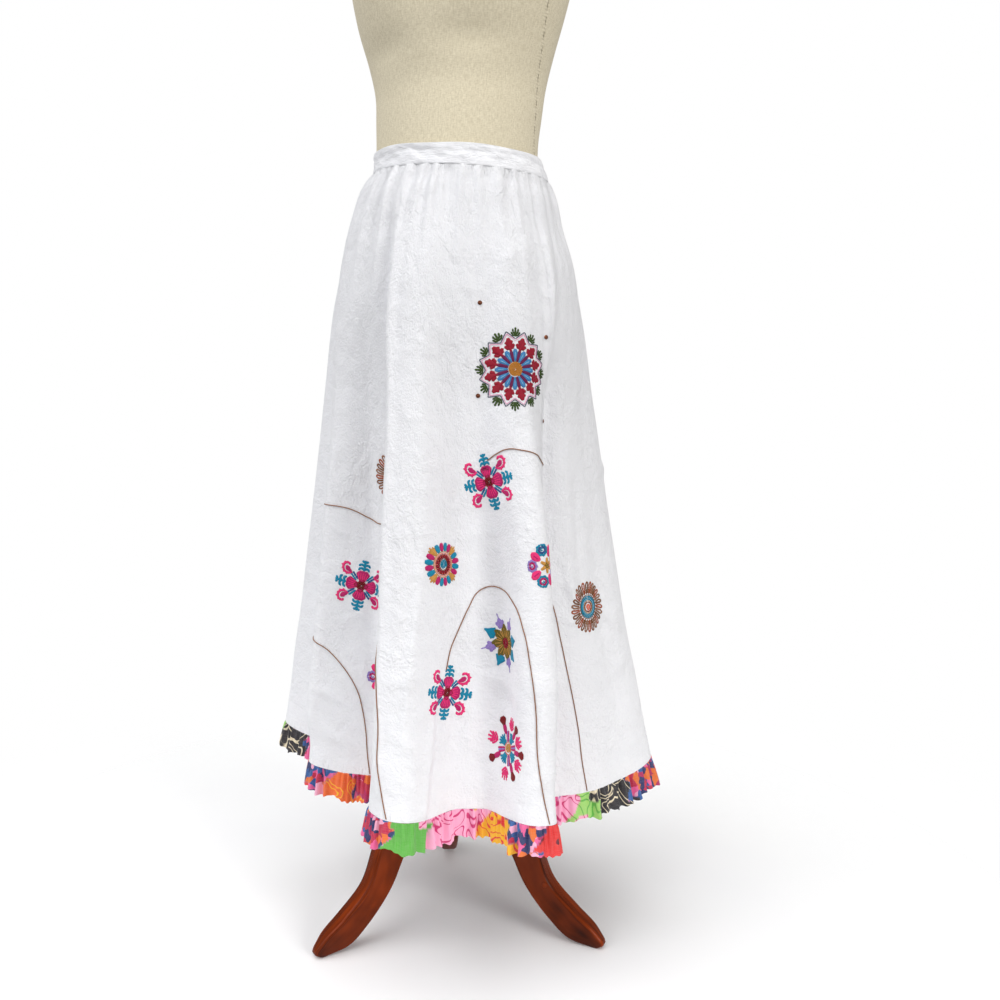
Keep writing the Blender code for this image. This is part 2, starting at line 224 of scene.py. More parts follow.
# Long folds of the cloth, through pairs of a share round and a length down
FOLDS = (
    Fold(((0.452, 0.04), (0.450, 0.12), (0.447, 0.2), (0.443, 0.3), (0.440, 0.4), (0.435, 0.5),
          (0.430, 0.6), (0.424, 0.78)), 0.020, 0.010, (0.3, 0.35)),
    Fold(((0.462, 0.04), (0.461, 0.12), (0.459, 0.2), (0.455, 0.3), (0.452, 0.4), (0.448, 0.5),
          (0.444, 0.6), (0.438, 0.78)), 0.009, 0.006, (0.2, 0.35)),
    Fold(((0.484, 0.22), (0.478, 0.3), (0.474, 0.4), (0.472, 0.5), (0.470, 0.6), (0.466, 0.74)),
         0.012, -0.010, (0.15, 0.35)),
    Fold(((0.205, 0.02), (0.222, 0.08), (0.236, 0.2), (0.248, 0.3), (0.253, 0.5), (0.257, 0.7),
          (0.258, 0.82)), 0.010, 0.007, (0.15, 0.1)),
    Fold(((0.196, 0.02), (0.210, 0.08), (0.220, 0.2), (0.227, 0.3), (0.230, 0.5), (0.232, 0.7),
          (0.232, 0.82)), 0.013, -0.010, (0.15, 0.1)),
    Fold(((0.312, 0.22), (0.308, 0.5), (0.312, 0.74)), 0.040, 0.005, (0.4, 0.5)),
    Fold(((0.368, 0.36), (0.371, 0.55), (0.373, 0.80)), 0.024, -0.017, (0.45, 0.3)),
    Fold(((0.412, 0.28), (0.414, 0.5), (0.415, 0.80)), 0.022, 0.014, (0.4, 0.3)),
    Fold(((0.126, 0.28), (0.123, 0.45), (0.119, 0.62), (0.115, 0.80)), 0.012, 0.008, (0.4, 0.1)),
    Fold(((0.098, 0.28), (0.094, 0.45), (0.090, 0.62), (0.088, 0.80)), 0.014, -0.011, (0.4, 0.1)),
    Fold(((0.292, 0.40), (0.288, 0.55), (0.283, 0.64), (0.278, 0.80)), 0.006, 0.0022, (0.4, 0.4)),
    Fold(((0.284, 0.40), (0.280, 0.55), (0.275, 0.64), (0.270, 0.80)), 0.008, -0.0018, (0.4, 0.4)),
    Fold(((0.310, 0.63), (0.304, 0.74), (0.298, 0.82)), 0.007, 0.0032, (0.5, 0.05)),
    Fold(((0.318, 0.63), (0.312, 0.74), (0.307, 0.82)), 0.010, -0.0030, (0.5, 0.05)),
    Fold(((0.520, 0.34), (0.518, 0.46), (0.521, 0.60)), 0.010, -0.0030, (0.4, 0.4)),
    Fold(((0.500, 0.30), (0.502, 0.48), (0.508, 0.72)), 0.012, 0.0030, (0.4, 0.4)),
    Fold(((0.545, 0.42), (0.548, 0.60), (0.552, 0.80)), 0.014, -0.0035, (0.4, 0.3)),
    Fold(((0.138, 0.26), (0.136, 0.48), (0.130, 0.70)), 0.014, 0.0030, (0.4, 0.4)),
    Fold(((0.172, 0.30), (0.172, 0.52), (0.176, 0.78)), 0.012, -0.0035, (0.4, 0.3)),
    Fold(((0.070, 0.30), (0.066, 0.60), (0.060, 0.80)), 0.014, -0.0030, (0.4, 0.3)),
    Fold(((0.600, 0.20), (0.604, 0.45), (0.612, 0.75)), 0.016, 0.0050, (0.4, 0.4)),
    Fold(((0.635, 0.28), (0.640, 0.50), (0.650, 0.80)), 0.014, -0.0045, (0.4, 0.3)),
    Fold(((0.690, 0.16), (0.694, 0.40), (0.690, 0.70)), 0.018, 0.0060, (0.4, 0.4)),
    Fold(((0.722, 0.30), (0.728, 0.55), (0.726, 0.81)), 0.010, -0.0035, (0.4, 0.2)),
    Fold(((0.771, 0.20), (0.768, 0.45), (0.760, 0.78)), 0.016, -0.0055, (0.4, 0.3)),
    Fold(((0.802, 0.40), (0.806, 0.60), (0.812, 0.81)), 0.009, 0.0030, (0.4, 0.2)),
    Fold(((0.846, 0.22), (0.850, 0.46), (0.846, 0.74)), 0.020, 0.0060, (0.4, 0.4)),
    Fold(((0.884, 0.30), (0.880, 0.55), (0.888, 0.80)), 0.013, -0.0045, (0.4, 0.3)),
    Fold(((0.938, 0.18), (0.940, 0.42), (0.934, 0.70)), 0.017, 0.0050, (0.4, 0.4)),
    Fold(((0.968, 0.36), (0.972, 0.58), (0.965, 0.80)), 0.012, -0.0040, (0.4, 0.3)),
)

# Folds that spring from the waist seam, by their shares round at the top and further down
GATHERS = (
    Gather(0.022, 0.026, 0.13, 0.008, 0.0028), Gather(0.047, 0.050, 0.09, 0.006, -0.0022),
    Gather(0.078, 0.072, 0.17, 0.009, 0.0030), Gather(0.103, 0.098, 0.11, 0.007, -0.0030),
    Gather(0.124, 0.114, 0.24, 0.008, 0.0026), Gather(0.139, 0.130, 0.15, 0.006, -0.0028),
    Gather(0.152, 0.145, 0.20, 0.008, 0.0034), Gather(0.168, 0.172, 0.28, 0.009, -0.0042),
    Gather(0.184, 0.192, 0.10, 0.006, 0.0026), Gather(0.222, 0.226, 0.08, 0.005, 0.0022),
    Gather(0.237, 0.239, 0.05, 0.005, -0.0026), Gather(0.250, 0.249, 0.12, 0.006, 0.0024),
    Gather(0.262, 0.258, 0.17, 0.006, -0.0030), Gather(0.283, 0.290, 0.21, 0.008, 0.0030),
    Gather(0.299, 0.322, 0.14, 0.008, -0.0044), Gather(0.325, 0.334, 0.08, 0.006, 0.0024),
    Gather(0.338, 0.343, 0.05, 0.005, -0.0024), Gather(0.352, 0.357, 0.07, 0.005, 0.0022),
    Gather(0.362, 0.380, 0.04, 0.004, -0.0030), Gather(0.388, 0.384, 0.07, 0.006, 0.0026),
    Gather(0.415, 0.399, 0.06, 0.005, -0.0032), Gather(0.428, 0.430, 0.05, 0.004, -0.0020),
    Gather(0.437, 0.438, 0.11, 0.006, 0.0024), Gather(0.449, 0.452, 0.20, 0.008, -0.0026),
    Gather(0.470, 0.472, 0.12, 0.007, 0.0022), Gather(0.512, 0.515, 0.10, 0.007, -0.0020),
    Gather(0.533, 0.530, 0.14, 0.008, 0.0024), Gather(0.558, 0.562, 0.07, 0.006, -0.0026),
    Gather(0.577, 0.581, 0.19, 0.009, 0.0034), Gather(0.601, 0.596, 0.11, 0.007, -0.0030),
    Gather(0.619, 0.627, 0.16, 0.008, 0.0030), Gather(0.648, 0.650, 0.06, 0.005, -0.0028),
    Gather(0.663, 0.660, 0.13, 0.007, 0.0026), Gather(0.684, 0.676, 0.22, 0.009, -0.0040),
    Gather(0.709, 0.712, 0.09, 0.006, 0.0026), Gather(0.728, 0.735, 0.14, 0.007, -0.0028),
    Gather(0.751, 0.748, 0.18, 0.009, 0.0034), Gather(0.770, 0.776, 0.07, 0.005, -0.0026),
    Gather(0.789, 0.791, 0.12, 0.007, 0.0028), Gather(0.812, 0.804, 0.20, 0.008, -0.0038),
    Gather(0.834, 0.840, 0.10, 0.006, 0.0026), Gather(0.855, 0.853, 0.06, 0.005, -0.0024),
    Gather(0.872, 0.880, 0.17, 0.008, 0.0032), Gather(0.901, 0.897, 0.12, 0.007, -0.0030),
    Gather(0.922, 0.926, 0.09, 0.006, 0.0024), Gather(0.944, 0.938, 0.18, 0.008, -0.0032),
    Gather(0.967, 0.972, 0.11, 0.007, 0.0026), Gather(0.986, 0.984, 0.07, 0.005, -0.0022),
)

# Short creases all over the cloth
CREASES = (
    Crease((0.488, 0.520), (0.516, 0.562), 0.0060, 0.0030),
    Crease((0.492, 0.548), (0.520, 0.540), 0.0055, -0.0024),
    Crease((0.498, 0.506), (0.508, 0.575), 0.0060, 0.0026),
    Crease((0.486, 0.570), (0.512, 0.590), 0.0055, 0.0022),
    Crease((0.535, 0.560), (0.565, 0.610), 0.0065, 0.0024),
    Crease((0.528, 0.625), (0.556, 0.600), 0.0060, -0.0022),
    Crease((0.540, 0.680), (0.575, 0.655), 0.0060, 0.0020),
    Crease((0.330, 0.145), (0.352, 0.175), 0.0060, 0.0018),
    Crease((0.405, 0.105), (0.385, 0.135), 0.0055, 0.0020),
    Crease((0.425, 0.085), (0.398, 0.100), 0.0055, -0.0018),
    Crease((0.270, 0.225), (0.300, 0.250), 0.0060, 0.0016),
    Crease((0.345, 0.470), (0.372, 0.455), 0.0060, 0.0018),
    Crease((0.352, 0.642), (0.392, 0.668), 0.0070, 0.0034),
    Crease((0.356, 0.668), (0.388, 0.690), 0.0065, -0.0030),
    Crease((0.262, 0.655), (0.296, 0.640), 0.0070, 0.0022),
    Crease((0.266, 0.712), (0.290, 0.735), 0.0060, 0.0020),
    Crease((0.300, 0.768), (0.332, 0.752), 0.0060, -0.0018),
    Crease((0.395, 0.775), (0.425, 0.752), 0.0065, 0.0024),
    Crease((0.128, 0.480), (0.152, 0.500), 0.0055, 0.0018),
    Crease((0.140, 0.615), (0.165, 0.590), 0.0060, 0.0022),
    Crease((0.116, 0.705), (0.148, 0.722), 0.0060, 0.0022),
    Crease((0.122, 0.765), (0.160, 0.782), 0.0065, 0.0030),
    Crease((0.060, 0.655), (0.085, 0.640), 0.0060, 0.0020),
    Crease((0.585, 0.380), (0.612, 0.410), 0.0065, 0.0024),
    Crease((0.625, 0.560), (0.660, 0.535), 0.0065, -0.0026),
    Crease((0.640, 0.690), (0.668, 0.712), 0.0060, 0.0024),
    Crease((0.702, 0.480), (0.735, 0.500), 0.0065, 0.0026),
    Crease((0.715, 0.620), (0.745, 0.590), 0.0060, 0.0022),
    Crease((0.742, 0.130), (0.766, 0.160), 0.0060, 0.0020),
    Crease((0.785, 0.355), (0.815, 0.335), 0.0060, -0.0022),
    Crease((0.792, 0.702), (0.824, 0.728), 0.0065, 0.0026),
    Crease((0.838, 0.575), (0.866, 0.600), 0.0060, 0.0022),
    Crease((0.870, 0.420), (0.895, 0.395), 0.0060, 0.0020),
    Crease((0.905, 0.640), (0.938, 0.660), 0.0065, -0.0024),
    Crease((0.952, 0.520), (0.978, 0.495), 0.0060, 0.0020),
)

# A leg's two outlines, from the toe up to the hub
LEG_INSIDE = (
    LegPoint(0.2060, 0.000), LegPoint(0.1790, 0.0055), LegPoint(0.1500, 0.027),
    LegPoint(0.1140, 0.067), LegPoint(0.0870, 0.118), LegPoint(0.0620, 0.154),
    LegPoint(0.0303, 0.176),
)
LEG_OUTSIDE = (
    LegPoint(0.2190, 0.000), LegPoint(0.2262, 0.006), LegPoint(0.2170, 0.021),
    LegPoint(0.1850, 0.047), LegPoint(0.1490, 0.081), LegPoint(0.1300, 0.128),
    LegPoint(0.1080, 0.182), LegPoint(0.0740, 0.230), LegPoint(0.0303, 0.250),
)


def srgb(red: float, green: float, blue: float) -> tuple[float, float, float]:
    """Turn a display colour from 0 to 255 into the linear one that shaders take.

    Args:
        red: Display red.
        green: Display green.
        blue: Display blue.

    Returns:
        The linear red, green and blue, each from 0 to 1.
    """
    shares = np.array([red, green, blue]) / 255.0
    linear = np.where(shares <= 0.04045, shares / 12.92, ((shares + 0.055) / 1.055) ** 2.4)
    return tuple(float(value) for value in linear)


class Thread(Enum):
    """Embroidery threads, by their display colour."""

    CRIMSON = (152, 6, 38)
    DARK_RED = (120, 4, 14)
    PLUM = (104, 20, 72)
    MAGENTA = (188, 22, 100)
    PINK = (234, 48, 118)
    PALE_PINK = (244, 178, 208)
    TEAL = (0, 134, 168)
    BLUE = (62, 128, 182)
    PALE_BLUE = (150, 196, 216)
    DEEP_BLUE = (42, 84, 140)
    LEAF_GREEN = (56, 78, 28)
    OLIVE = (104, 90, 22)
    OCHRE = (204, 146, 70)
    GOLD_BROWN = (190, 124, 44)
    COPPER = (164, 84, 52)
    BROWN = (122, 74, 38)
    LILAC = (150, 128, 196)
    GREY = (88, 88, 108)
    PEACH = (234, 122, 96)
    TAN = (148, 104, 78)

    @property
    def linear(self) -> tuple[float, float, float]:
        """The thread's linear colour."""
        return srgb(*self.value)


class Figure(Enum):
    """What is printed on a patch of the frill."""

    PLAIN = 0
    MOSAIC = 1
    SCROLL = 2
    SPOTS = 3


def direction(angle: np.ndarray) -> np.ndarray:
    """Unit vectors in plan at angles from the front: (sin a, -cos a) on the last axis.

    Args:
        angle: Angles in degrees.

    Returns:
        An array with x and y added as its last axis.
    """
    turn = np.radians(angle)
    return np.stack([np.sin(turn), -np.cos(turn)], axis=-1)


def oval_radius(half_width: float, half_depth: float, angle: np.ndarray) -> np.ndarray:
    """Distance from an oval's centre to its rim: one over the root of the squared shares.

    Args:
        half_width: Half the oval's size along X.
        half_depth: Half its size along Y.
        angle: Angles in degrees.

    Returns:
        The rim's distance at each angle.
    """
    turn = np.radians(angle)
    return 1.0 / np.sqrt((np.sin(turn) / half_width) ** 2 + (np.cos(turn) / half_depth) ** 2)


def smooth_between(values: np.ndarray, at: np.ndarray, want: np.ndarray) -> np.ndarray:
    """A smooth curve through given values: a cubic whose slopes are those of its neighbours.

    Args:
        values: Values at the given places, along the first axis.
        at: The places, rising.
        want: The places to work out.

    Returns:
        The values at the wanted places, along the first axis.
    """
    values = np.asarray(values, dtype=float)
    at = np.asarray(at, dtype=float)
    slope = np.gradient(values, at, axis=0)
    index = np.clip(np.searchsorted(at, want, side="right") - 1, 0, len(at) - 2)
    span = at[index + 1] - at[index]
    shape = (-1,) + (1,) * (values.ndim - 1)
    step = ((want - at[index]) / span).reshape(shape)
    span = span.reshape(shape)
    low, high = values[index], values[index + 1]
    low_slope, high_slope = slope[index] * span, slope[index + 1] * span
    return (
        (2 * step**3 - 3 * step**2 + 1) * low
        + (step**3 - 2 * step**2 + step) * low_slope
        + (3 * step**2 - 2 * step**3) * high
        + (step**3 - step**2) * high_slope
    )


def length_along(path: np.ndarray) -> np.ndarray:
    """Length of a path from its first point to each point, by the steps between them."""
    return np.concatenate([[0.0], np.cumsum(np.linalg.norm(np.diff(path, axis=0), axis=1))])


def spaced(path: np.ndarray, count: int) -> np.ndarray:
    """A number of points evenly along a path, with its first and last among them."""
    length = length_along(path)
    want = np.linspace(0.0, length[-1], count)
    return np.stack([np.interp(want, length, path[:, k]) for k in range(path.shape[1])], axis=1)


def even_along(path: np.ndarray, step: float) -> np.ndarray:
    """Points spaced evenly along a path, about a step apart.

    Args:
        path: The path's points, one a row.
        step: The wanted spacing.

    Returns:
        The new points, with the path's first and last among them.
    """
    return spaced(path, max(4, int(math.ceil(length_along(path)[-1] / step)) + 1))


def curve_through(points: np.ndarray, count: int) -> np.ndarray:
    """A smooth curve through a few points, by the length of its chords.

    Args:
        points: The points, one a row.
        count: How many points the curve gets.

    Returns:
        The curve's points.
    """
    points = np.asarray(points, dtype=float)
    chord = length_along(points)
    return smooth_between(points, chord, np.linspace(0.0, chord[-1], count))


def wave_round(share: np.ndarray, count: int, unevenness: float, cycles: tuple) -> np.ndarray:
    """A wave whose crests drift to and fro: cos of 2 pi times count x share plus a slow drift.

    Args:
        share: Shares of the way round.
        count: Whole waves round.
        unevenness: How far the crests drift, in waves.
        cycles: How many times round each part of the drift swings.

    Returns:
        Heights from -1 to 1.
    """
    drift = unevenness * sum(np.sin(2 * np.pi * number * share) for number in cycles)
    return np.cos(2 * np.pi * (count * share + drift))


def ease(share: np.ndarray) -> np.ndarray:
    """A soft rise from 0 to 1: 3 t squared less 2 t cubed."""
    t = np.clip(share, 0.0, 1.0)
    return t * t * (3 - 2 * t)


def tube_normals(points: np.ndarray) -> np.ndarray:
    """Outward unit normals of a grid whose last column repeats its first, as a closed tube.

    Args:
        points: Rows down the tube by columns round it, by x, y and z.

    Returns:
        The normals, in the same shape.
    """
    loop = points[:, :-1]
    around = np.roll(loop, -1, axis=1) - np.roll(loop, 1, axis=1)
    down = np.gradient(loop, axis=0)
    normals = np.cross(down, around)
    normals /= np.linalg.norm(normals, axis=2, keepdims=True)
    return np.concatenate([normals, normals[:, :1]], axis=1)


def grid_quads(rows: int, columns: int, wrap: bool = False) -> np.ndarray:
    """Corner numbers of a grid's quads, facing out when rows go down and columns go round.

    Args:
        rows: Number of rows of points.
        columns: Number of columns of points.
        wrap: Whether the last column joins the first.

    Returns:
        An array with four corner numbers a row.
    """
    index = np.arange(rows * columns).reshape(rows, columns)
    if wrap:
        index = np.concatenate([index, index[:, :1]], axis=1)
    corners = [index[:-1, :-1], index[1:, :-1], index[1:, 1:], index[:-1, 1:]]
    return np.stack([corner.ravel() for corner in corners], axis=1)


@dataclass
class Surface:
    """Points and faces of a piece before it becomes a Blender mesh."""

    name: str
    points: np.ndarray
    quads: np.ndarray
    caps: list = field(default_factory=list)
    uv: np.ndarray | None = None
    colours: dict = field(default_factory=dict)
    values: dict = field(default_factory=dict)

    def build(self, material: bpy.types.Material, smooth: bool = True) -> bpy.types.Object:
        """Make the mesh object, with its map and attributes, and link it to the scene.

        Args:
            material: The finish of the whole piece.
            smooth: Whether its faces are shaded smooth.

        Returns:
            The new object, at the origin.
        """
        mesh = bpy.data.meshes.new(self.name)
        corners = [self.quads.ravel(), *[np.asarray(cap) for cap in self.caps]]
        sizes = [4] * len(self.quads) + [len(cap) for cap in self.caps]
        loops = np.concatenate(corners).astype(np.int32)
        starts = np.concatenate([[0], np.cumsum(sizes)[:-1]]).astype(np.int32)
        mesh.vertices.add(len(self.points))
        mesh.vertices.foreach_set("co", self.points.astype(np.float32).ravel())
        mesh.loops.add(len(loops))
        mesh.loops.foreach_set("vertex_index", loops)
        mesh.polygons.add(len(sizes))
        mesh.polygons.foreach_set("loop_start", starts)
        mesh.update(calc_edges=True)
        if self.uv is not None:
            layer = mesh.uv_layers.new(name="cloth")
            # End faces have no place on the cloth, so they are mapped from above
            ends = len(self.quads) * 4
            map_ = np.concatenate([self.uv[loops[:ends]], self.points[loops[ends:], :2]])
            layer.data.foreach_set("uv", map_.astype(np.float32).ravel())
        for name, colour in self.colours.items():
            attribute = mesh.color_attributes.new(name, "FLOAT_COLOR", "POINT")
            rgba = np.concatenate([colour, np.ones((len(colour), 1))], axis=1)
            attribute.data.foreach_set("color", rgba.astype(np.float32).ravel())
        for name, value in self.values.items():
            attribute = mesh.attributes.new(name, "FLOAT", "POINT")
            attribute.data.foreach_set("value", np.asarray(value, dtype=np.float32))
        mesh.validate()
        if smooth:
            mesh.shade_smooth()
        mesh.materials.append(material)
        piece = bpy.data.objects.new(self.name, mesh)
        bpy.context.scene.collection.objects.link(piece)
        return piece


def give_thickness(piece: bpy.types.Object, thickness: float) -> None:
    """Give a sheet a wall of even thickness on both sides of its surface.

    Args:
        piece: The sheet's object.
        thickness: The wall's thickness.
    """
    wall = piece.modifiers.new("wall", "SOLIDIFY")
    wall.thickness = thickness
    wall.offset = 0.0
    wall.use_even_offset = False
    mesh = piece.data
    edge = np.empty(len(mesh.loops), dtype=np.int32)
    mesh.loops.foreach_get("edge_index", edge)
    rim = np.bincount(edge, minlength=len(mesh.edges)) == 1
    mesh.attributes.new("sharp_edge", "BOOLEAN", "EDGE").data.foreach_set("value", rim)


@dataclass
class NodeSheet:
    """A node tree, with short ways to add nodes and join them."""

    tree: bpy.types.NodeTree

    def add(self, kind: str, inputs: dict | None = None, **settings: object) -> bpy.types.Node:
        """Add a node, set it up, and join or set its inputs.

        Args:
            kind: Blender's name of the node type.
            inputs: Sockets to join and values to set, by input name or number.
            **settings: The node's own settings.

        Returns:
            The new node.
        """
        node = self.tree.nodes.new(kind)
        for name, value in settings.items():
            setattr(node, name, value)
        return self.join(node, inputs or {})

    def join(self, node: bpy.types.Node, inputs: dict) -> bpy.types.Node:
        """Join a node's inputs to sockets or set their values, by input name or number."""
        for key, value in inputs.items():
            if isinstance(value, bpy.types.NodeSocket):
                self.tree.links.new(value, node.inputs[key])
            else:
                node.inputs[key].default_value = value
        return node

    def math(self, operation: str, first: object, second: object = 0.0,
             third: object = 0.0) -> bpy.types.NodeSocket:
        """Add a Math node and return its output."""
        node = self.add("ShaderNodeMath", {0: first, 1: second, 2: third}, operation=operation)
        return node.outputs[0]

    def noise(self, vector: object, scale: float, detail: float = 2.0,
              roughness: float = 0.5, distortion: float = 0.0) -> bpy.types.NodeSocket:
        """Add a noise texture and return its value."""
        inputs = {"Vector": vector, "Scale": scale, "Detail": detail,
                  "Roughness": roughness, "Distortion": distortion}
        return self.add("ShaderNodeTexNoise", inputs).outputs["Fac"]

    def stretch(self, vector: object, scale: tuple) -> bpy.types.NodeSocket:
        """Add a Mapping node that scales a vector, and return it."""
        return self.add("ShaderNodeMapping", {"Vector": vector, "Scale": scale}).outputs[0]

    def range(self, value: object, low: float, high: float, to_low: float,
              to_high: float, smooth: bool = False) -> bpy.types.NodeSocket:
        """Add a Map Range node, and return its result."""
        kind = "SMOOTHSTEP" if smooth else "LINEAR"
        inputs = {"Value": value, "From Min": low, "From Max": high,
                  "To Min": to_low, "To Max": to_high}
        return self.add("ShaderNodeMapRange", inputs, interpolation_type=kind).outputs[0]

    def mix(self, factor: object, first: object, second: object) -> bpy.types.NodeSocket:
        """Mix two colours, each a socket or a linear red, green and blue."""
        first, second = [(*colour, 1.0) if isinstance(colour, tuple) else colour
                         for colour in (first, second)]
        node = self.add("ShaderNodeMix", data_type="RGBA")
        return self.join(node, {0: factor, 6: first, 7: second}).outputs[2]

    def group(self, tree: bpy.types.NodeTree, inputs: dict) -> bpy.types.Node:
        """Place a node group with its own values."""
        node = self.tree.nodes.new("ShaderNodeGroup")
        node.node_tree = tree
        return self.join(node, inputs)


def new_group(name: str, inputs: dict, outputs: tuple) -> tuple:
    """Start a shader node group.

    Args:
        name: The group's name.
        inputs: Socket types by input name, or numbers for a float input's usual value.
        outputs: Names of its float outputs.

    Returns:
        The group's tree, its node sheet, its input node and its output node.
    """
    tree = bpy.data.node_groups.new(name, "ShaderNodeTree")
    for label, kind in inputs.items():
        if isinstance(kind, str):
            tree.interface.new_socket(label, in_out="INPUT", socket_type=kind)
        else:
            socket = tree.interface.new_socket(label, in_out="INPUT", socket_type="NodeSocketFloat")
            socket.default_value = kind
    for label in outputs:
        tree.interface.new_socket(label, in_out="OUTPUT", socket_type="NodeSocketFloat")
    sheet = NodeSheet(tree)
    return tree, sheet, sheet.add("NodeGroupInput"), sheet.add("NodeGroupOutput")


def plain_weave_group() -> bpy.types.NodeTree:
    """Plain weave with slubs: sin(u) x sin(v) for the crossings, and streaky noise each way.

    Returns:
        A group with a vector in metres of cloth and a thread pitch as inputs, and the relief's
        height and the thread's tone, both from about 0 to 1, as outputs.
    """
    inputs = {"Vector": "NodeSocketVector", "Pitch": 0.0006}
    tree, sheet, start, end = new_group("plain_weave", inputs, ("Height", "Tone"))
    split = sheet.add("ShaderNodeSeparateXYZ", {0: start.outputs["Vector"]})
    turns = sheet.math("DIVIDE", 2 * math.pi, start.outputs["Pitch"])
    warp = sheet.math("SINE", sheet.math("MULTIPLY", split.outputs[0], turns))
    weft = sheet.math("SINE", sheet.math("MULTIPLY", split.outputs[1], turns))
    crossing = sheet.math("MULTIPLY_ADD", sheet.math("MULTIPLY", warp, weft), 0.5, 0.5)
    along = sheet.noise(sheet.stretch(start.outputs["Vector"], (1500.0, 60.0, 1.0)), 1.0, 2.0)
    across = sheet.noise(sheet.stretch(start.outputs["Vector"], (60.0, 1500.0, 1.0)), 1.0, 2.0)
    slubs = sheet.math("ADD", along, across)
    height = sheet.math("MULTIPLY_ADD", slubs, 0.5, sheet.math("MULTIPLY", crossing, 0.5))
    tone = sheet.range(slubs, 0.7, 1.3, 0.0, 1.0)
    sheet.join(end, {"Height": height, "Tone": tone})
    return tree


def crinkle_group() -> bpy.types.NodeTree:
    """Small uneven creases of washed cotton: soft dents, sharp bent ridges and fine grain.

    Returns:
        A group with a vector in metres of cloth and creases per metre as inputs, and their
        height as its output.
    """
    inputs = {"Vector": "NodeSocketVector", "Per Metre": 60.0}
    tree, sheet, start, end = new_group("crinkle", inputs, ("Height",))
    vector = start.outputs["Vector"]
    scaled = sheet.add("ShaderNodeVectorMath", {0: vector, "Scale": start.outputs["Per Metre"]},
                       operation="SCALE").outputs[0]
    dents = sheet.noise(scaled, 0.42, 2.0, 0.5, 0.4)
    bent = sheet.noise(sheet.stretch(scaled, (0.8, 0.7, 1.0)), 1.0, 3.0, 0.6, 0.5)
    ridges = sheet.math("SUBTRACT", 1.0, sheet.math("ABSOLUTE",
                                                    sheet.math("MULTIPLY_ADD", bent, 2.0, -1.0)))
    sharp = sheet.math("POWER", ridges, 5.0)
    grain = sheet.noise(scaled, 4.4, 4.0, 0.7)
    patches = sheet.range(sheet.noise(vector, 11.0, 2.0), 0.4, 0.62, 0.3, 1.0, smooth=True)
    height = sheet.math("MULTIPLY_ADD", sheet.math("MULTIPLY", sharp, patches), 0.2, dents)
    sheet.join(end, {"Height": sheet.math("MULTIPLY_ADD", grain, 0.42, height)})
    return tree


def pucker_group() -> bpy.types.NodeTree:
    """Short tucks that run away from a gathered seam: streaky noise that fades with distance.

    Returns:
        A group with a vector in metres of cloth, the distance to the seam and its reach as
        inputs, and the tucks' height as its output.
    """
    inputs = {"Vector": "NodeSocketVector", "Distance": 1.0, "Reach": 0.022}
    tree, sheet, start, end = new_group("pucker", inputs, ("Height",))
    streaks = sheet.noise(sheet.stretch(start.outputs["Vector"], (190.0, 14.0, 1.0)), 1.0, 2.0)
    level = sheet.math("DIVIDE", start.outputs["Distance"], start.outputs["Reach"])
    fade = sheet.range(level, 0.0, 1.0, 1.0, 0.0, smooth=True)
    sheet.join(end, {"Height": sheet.math("MULTIPLY", streaks, fade)})
    return tree


def seam_group() -> bpy.types.NodeTree:
    """A sewn seam, by the distance to its line: a furrow masking painted shade, and a pucker of its
    stitches.

    Returns:
        A group with the distance, the distance along and the furrow's half width as inputs,
        and the furrow's share, which masks painted shade, and its height as outputs.
    """
    inputs = {"Distance": 1.0, "Along": 0.0, "Half Width": 0.0012, "Stitch": 0.004}
    tree, sheet, start, end = new_group("sewn_seam", inputs, ("Furrow Shade", "Height"))
    nearness = sheet.math("DIVIDE", start.outputs["Distance"], start.outputs["Half Width"])
    furrow = sheet.range(nearness, 0.3, 1.0, 1.0, 0.0, smooth=True)
    turns = sheet.math("DIVIDE", 2 * math.pi, start.outputs["Stitch"])
    beat = sheet.math("SINE", sheet.math("MULTIPLY", start.outputs["Along"], turns))
    pucker = sheet.math("MULTIPLY", sheet.range(nearness, 1.0, 5.0, 0.35, 0.0, smooth=True), beat)
    height = sheet.math("SUBTRACT", pucker, furrow)
    sheet.join(end, {"Furrow Shade": furrow, "Height": height})
    return tree


def wood_grain_group() -> bpy.types.NodeTree:
    """Straight grain with pores: noise drawn out along the first axis, bent a little.

    Returns:
        A group with a vector in metres, along the grain first, as its input, and the tone of
        the wood and the height of its pores as outputs.
    """
    tree, sheet, start, end = new_group("wood_grain", {"Vector": "NodeSocketVector"},
                                        ("Tone", "Height"))
    vector = start.outputs["Vector"]
    bands = sheet.noise(sheet.stretch(vector, (5.0, 70.0, 70.0)), 1.0, 3.0, 0.55, 0.7)
    streaks = sheet.noise(sheet.stretch(vector, (14.0, 420.0, 420.0)), 1.0, 2.0, 0.6)
    pores = sheet.noise(sheet.stretch(vector, (60.0, 1500.0, 1500.0)), 1.0, 1.0)
    tone = sheet.math("MULTIPLY_ADD", streaks, 0.35, sheet.math("MULTIPLY", bands, 0.65))
    height = sheet.range(pores, 0.35, 0.5, 0.0, 1.0)
    sheet.join(end, {"Tone": tone, "Height": height})
    return tree


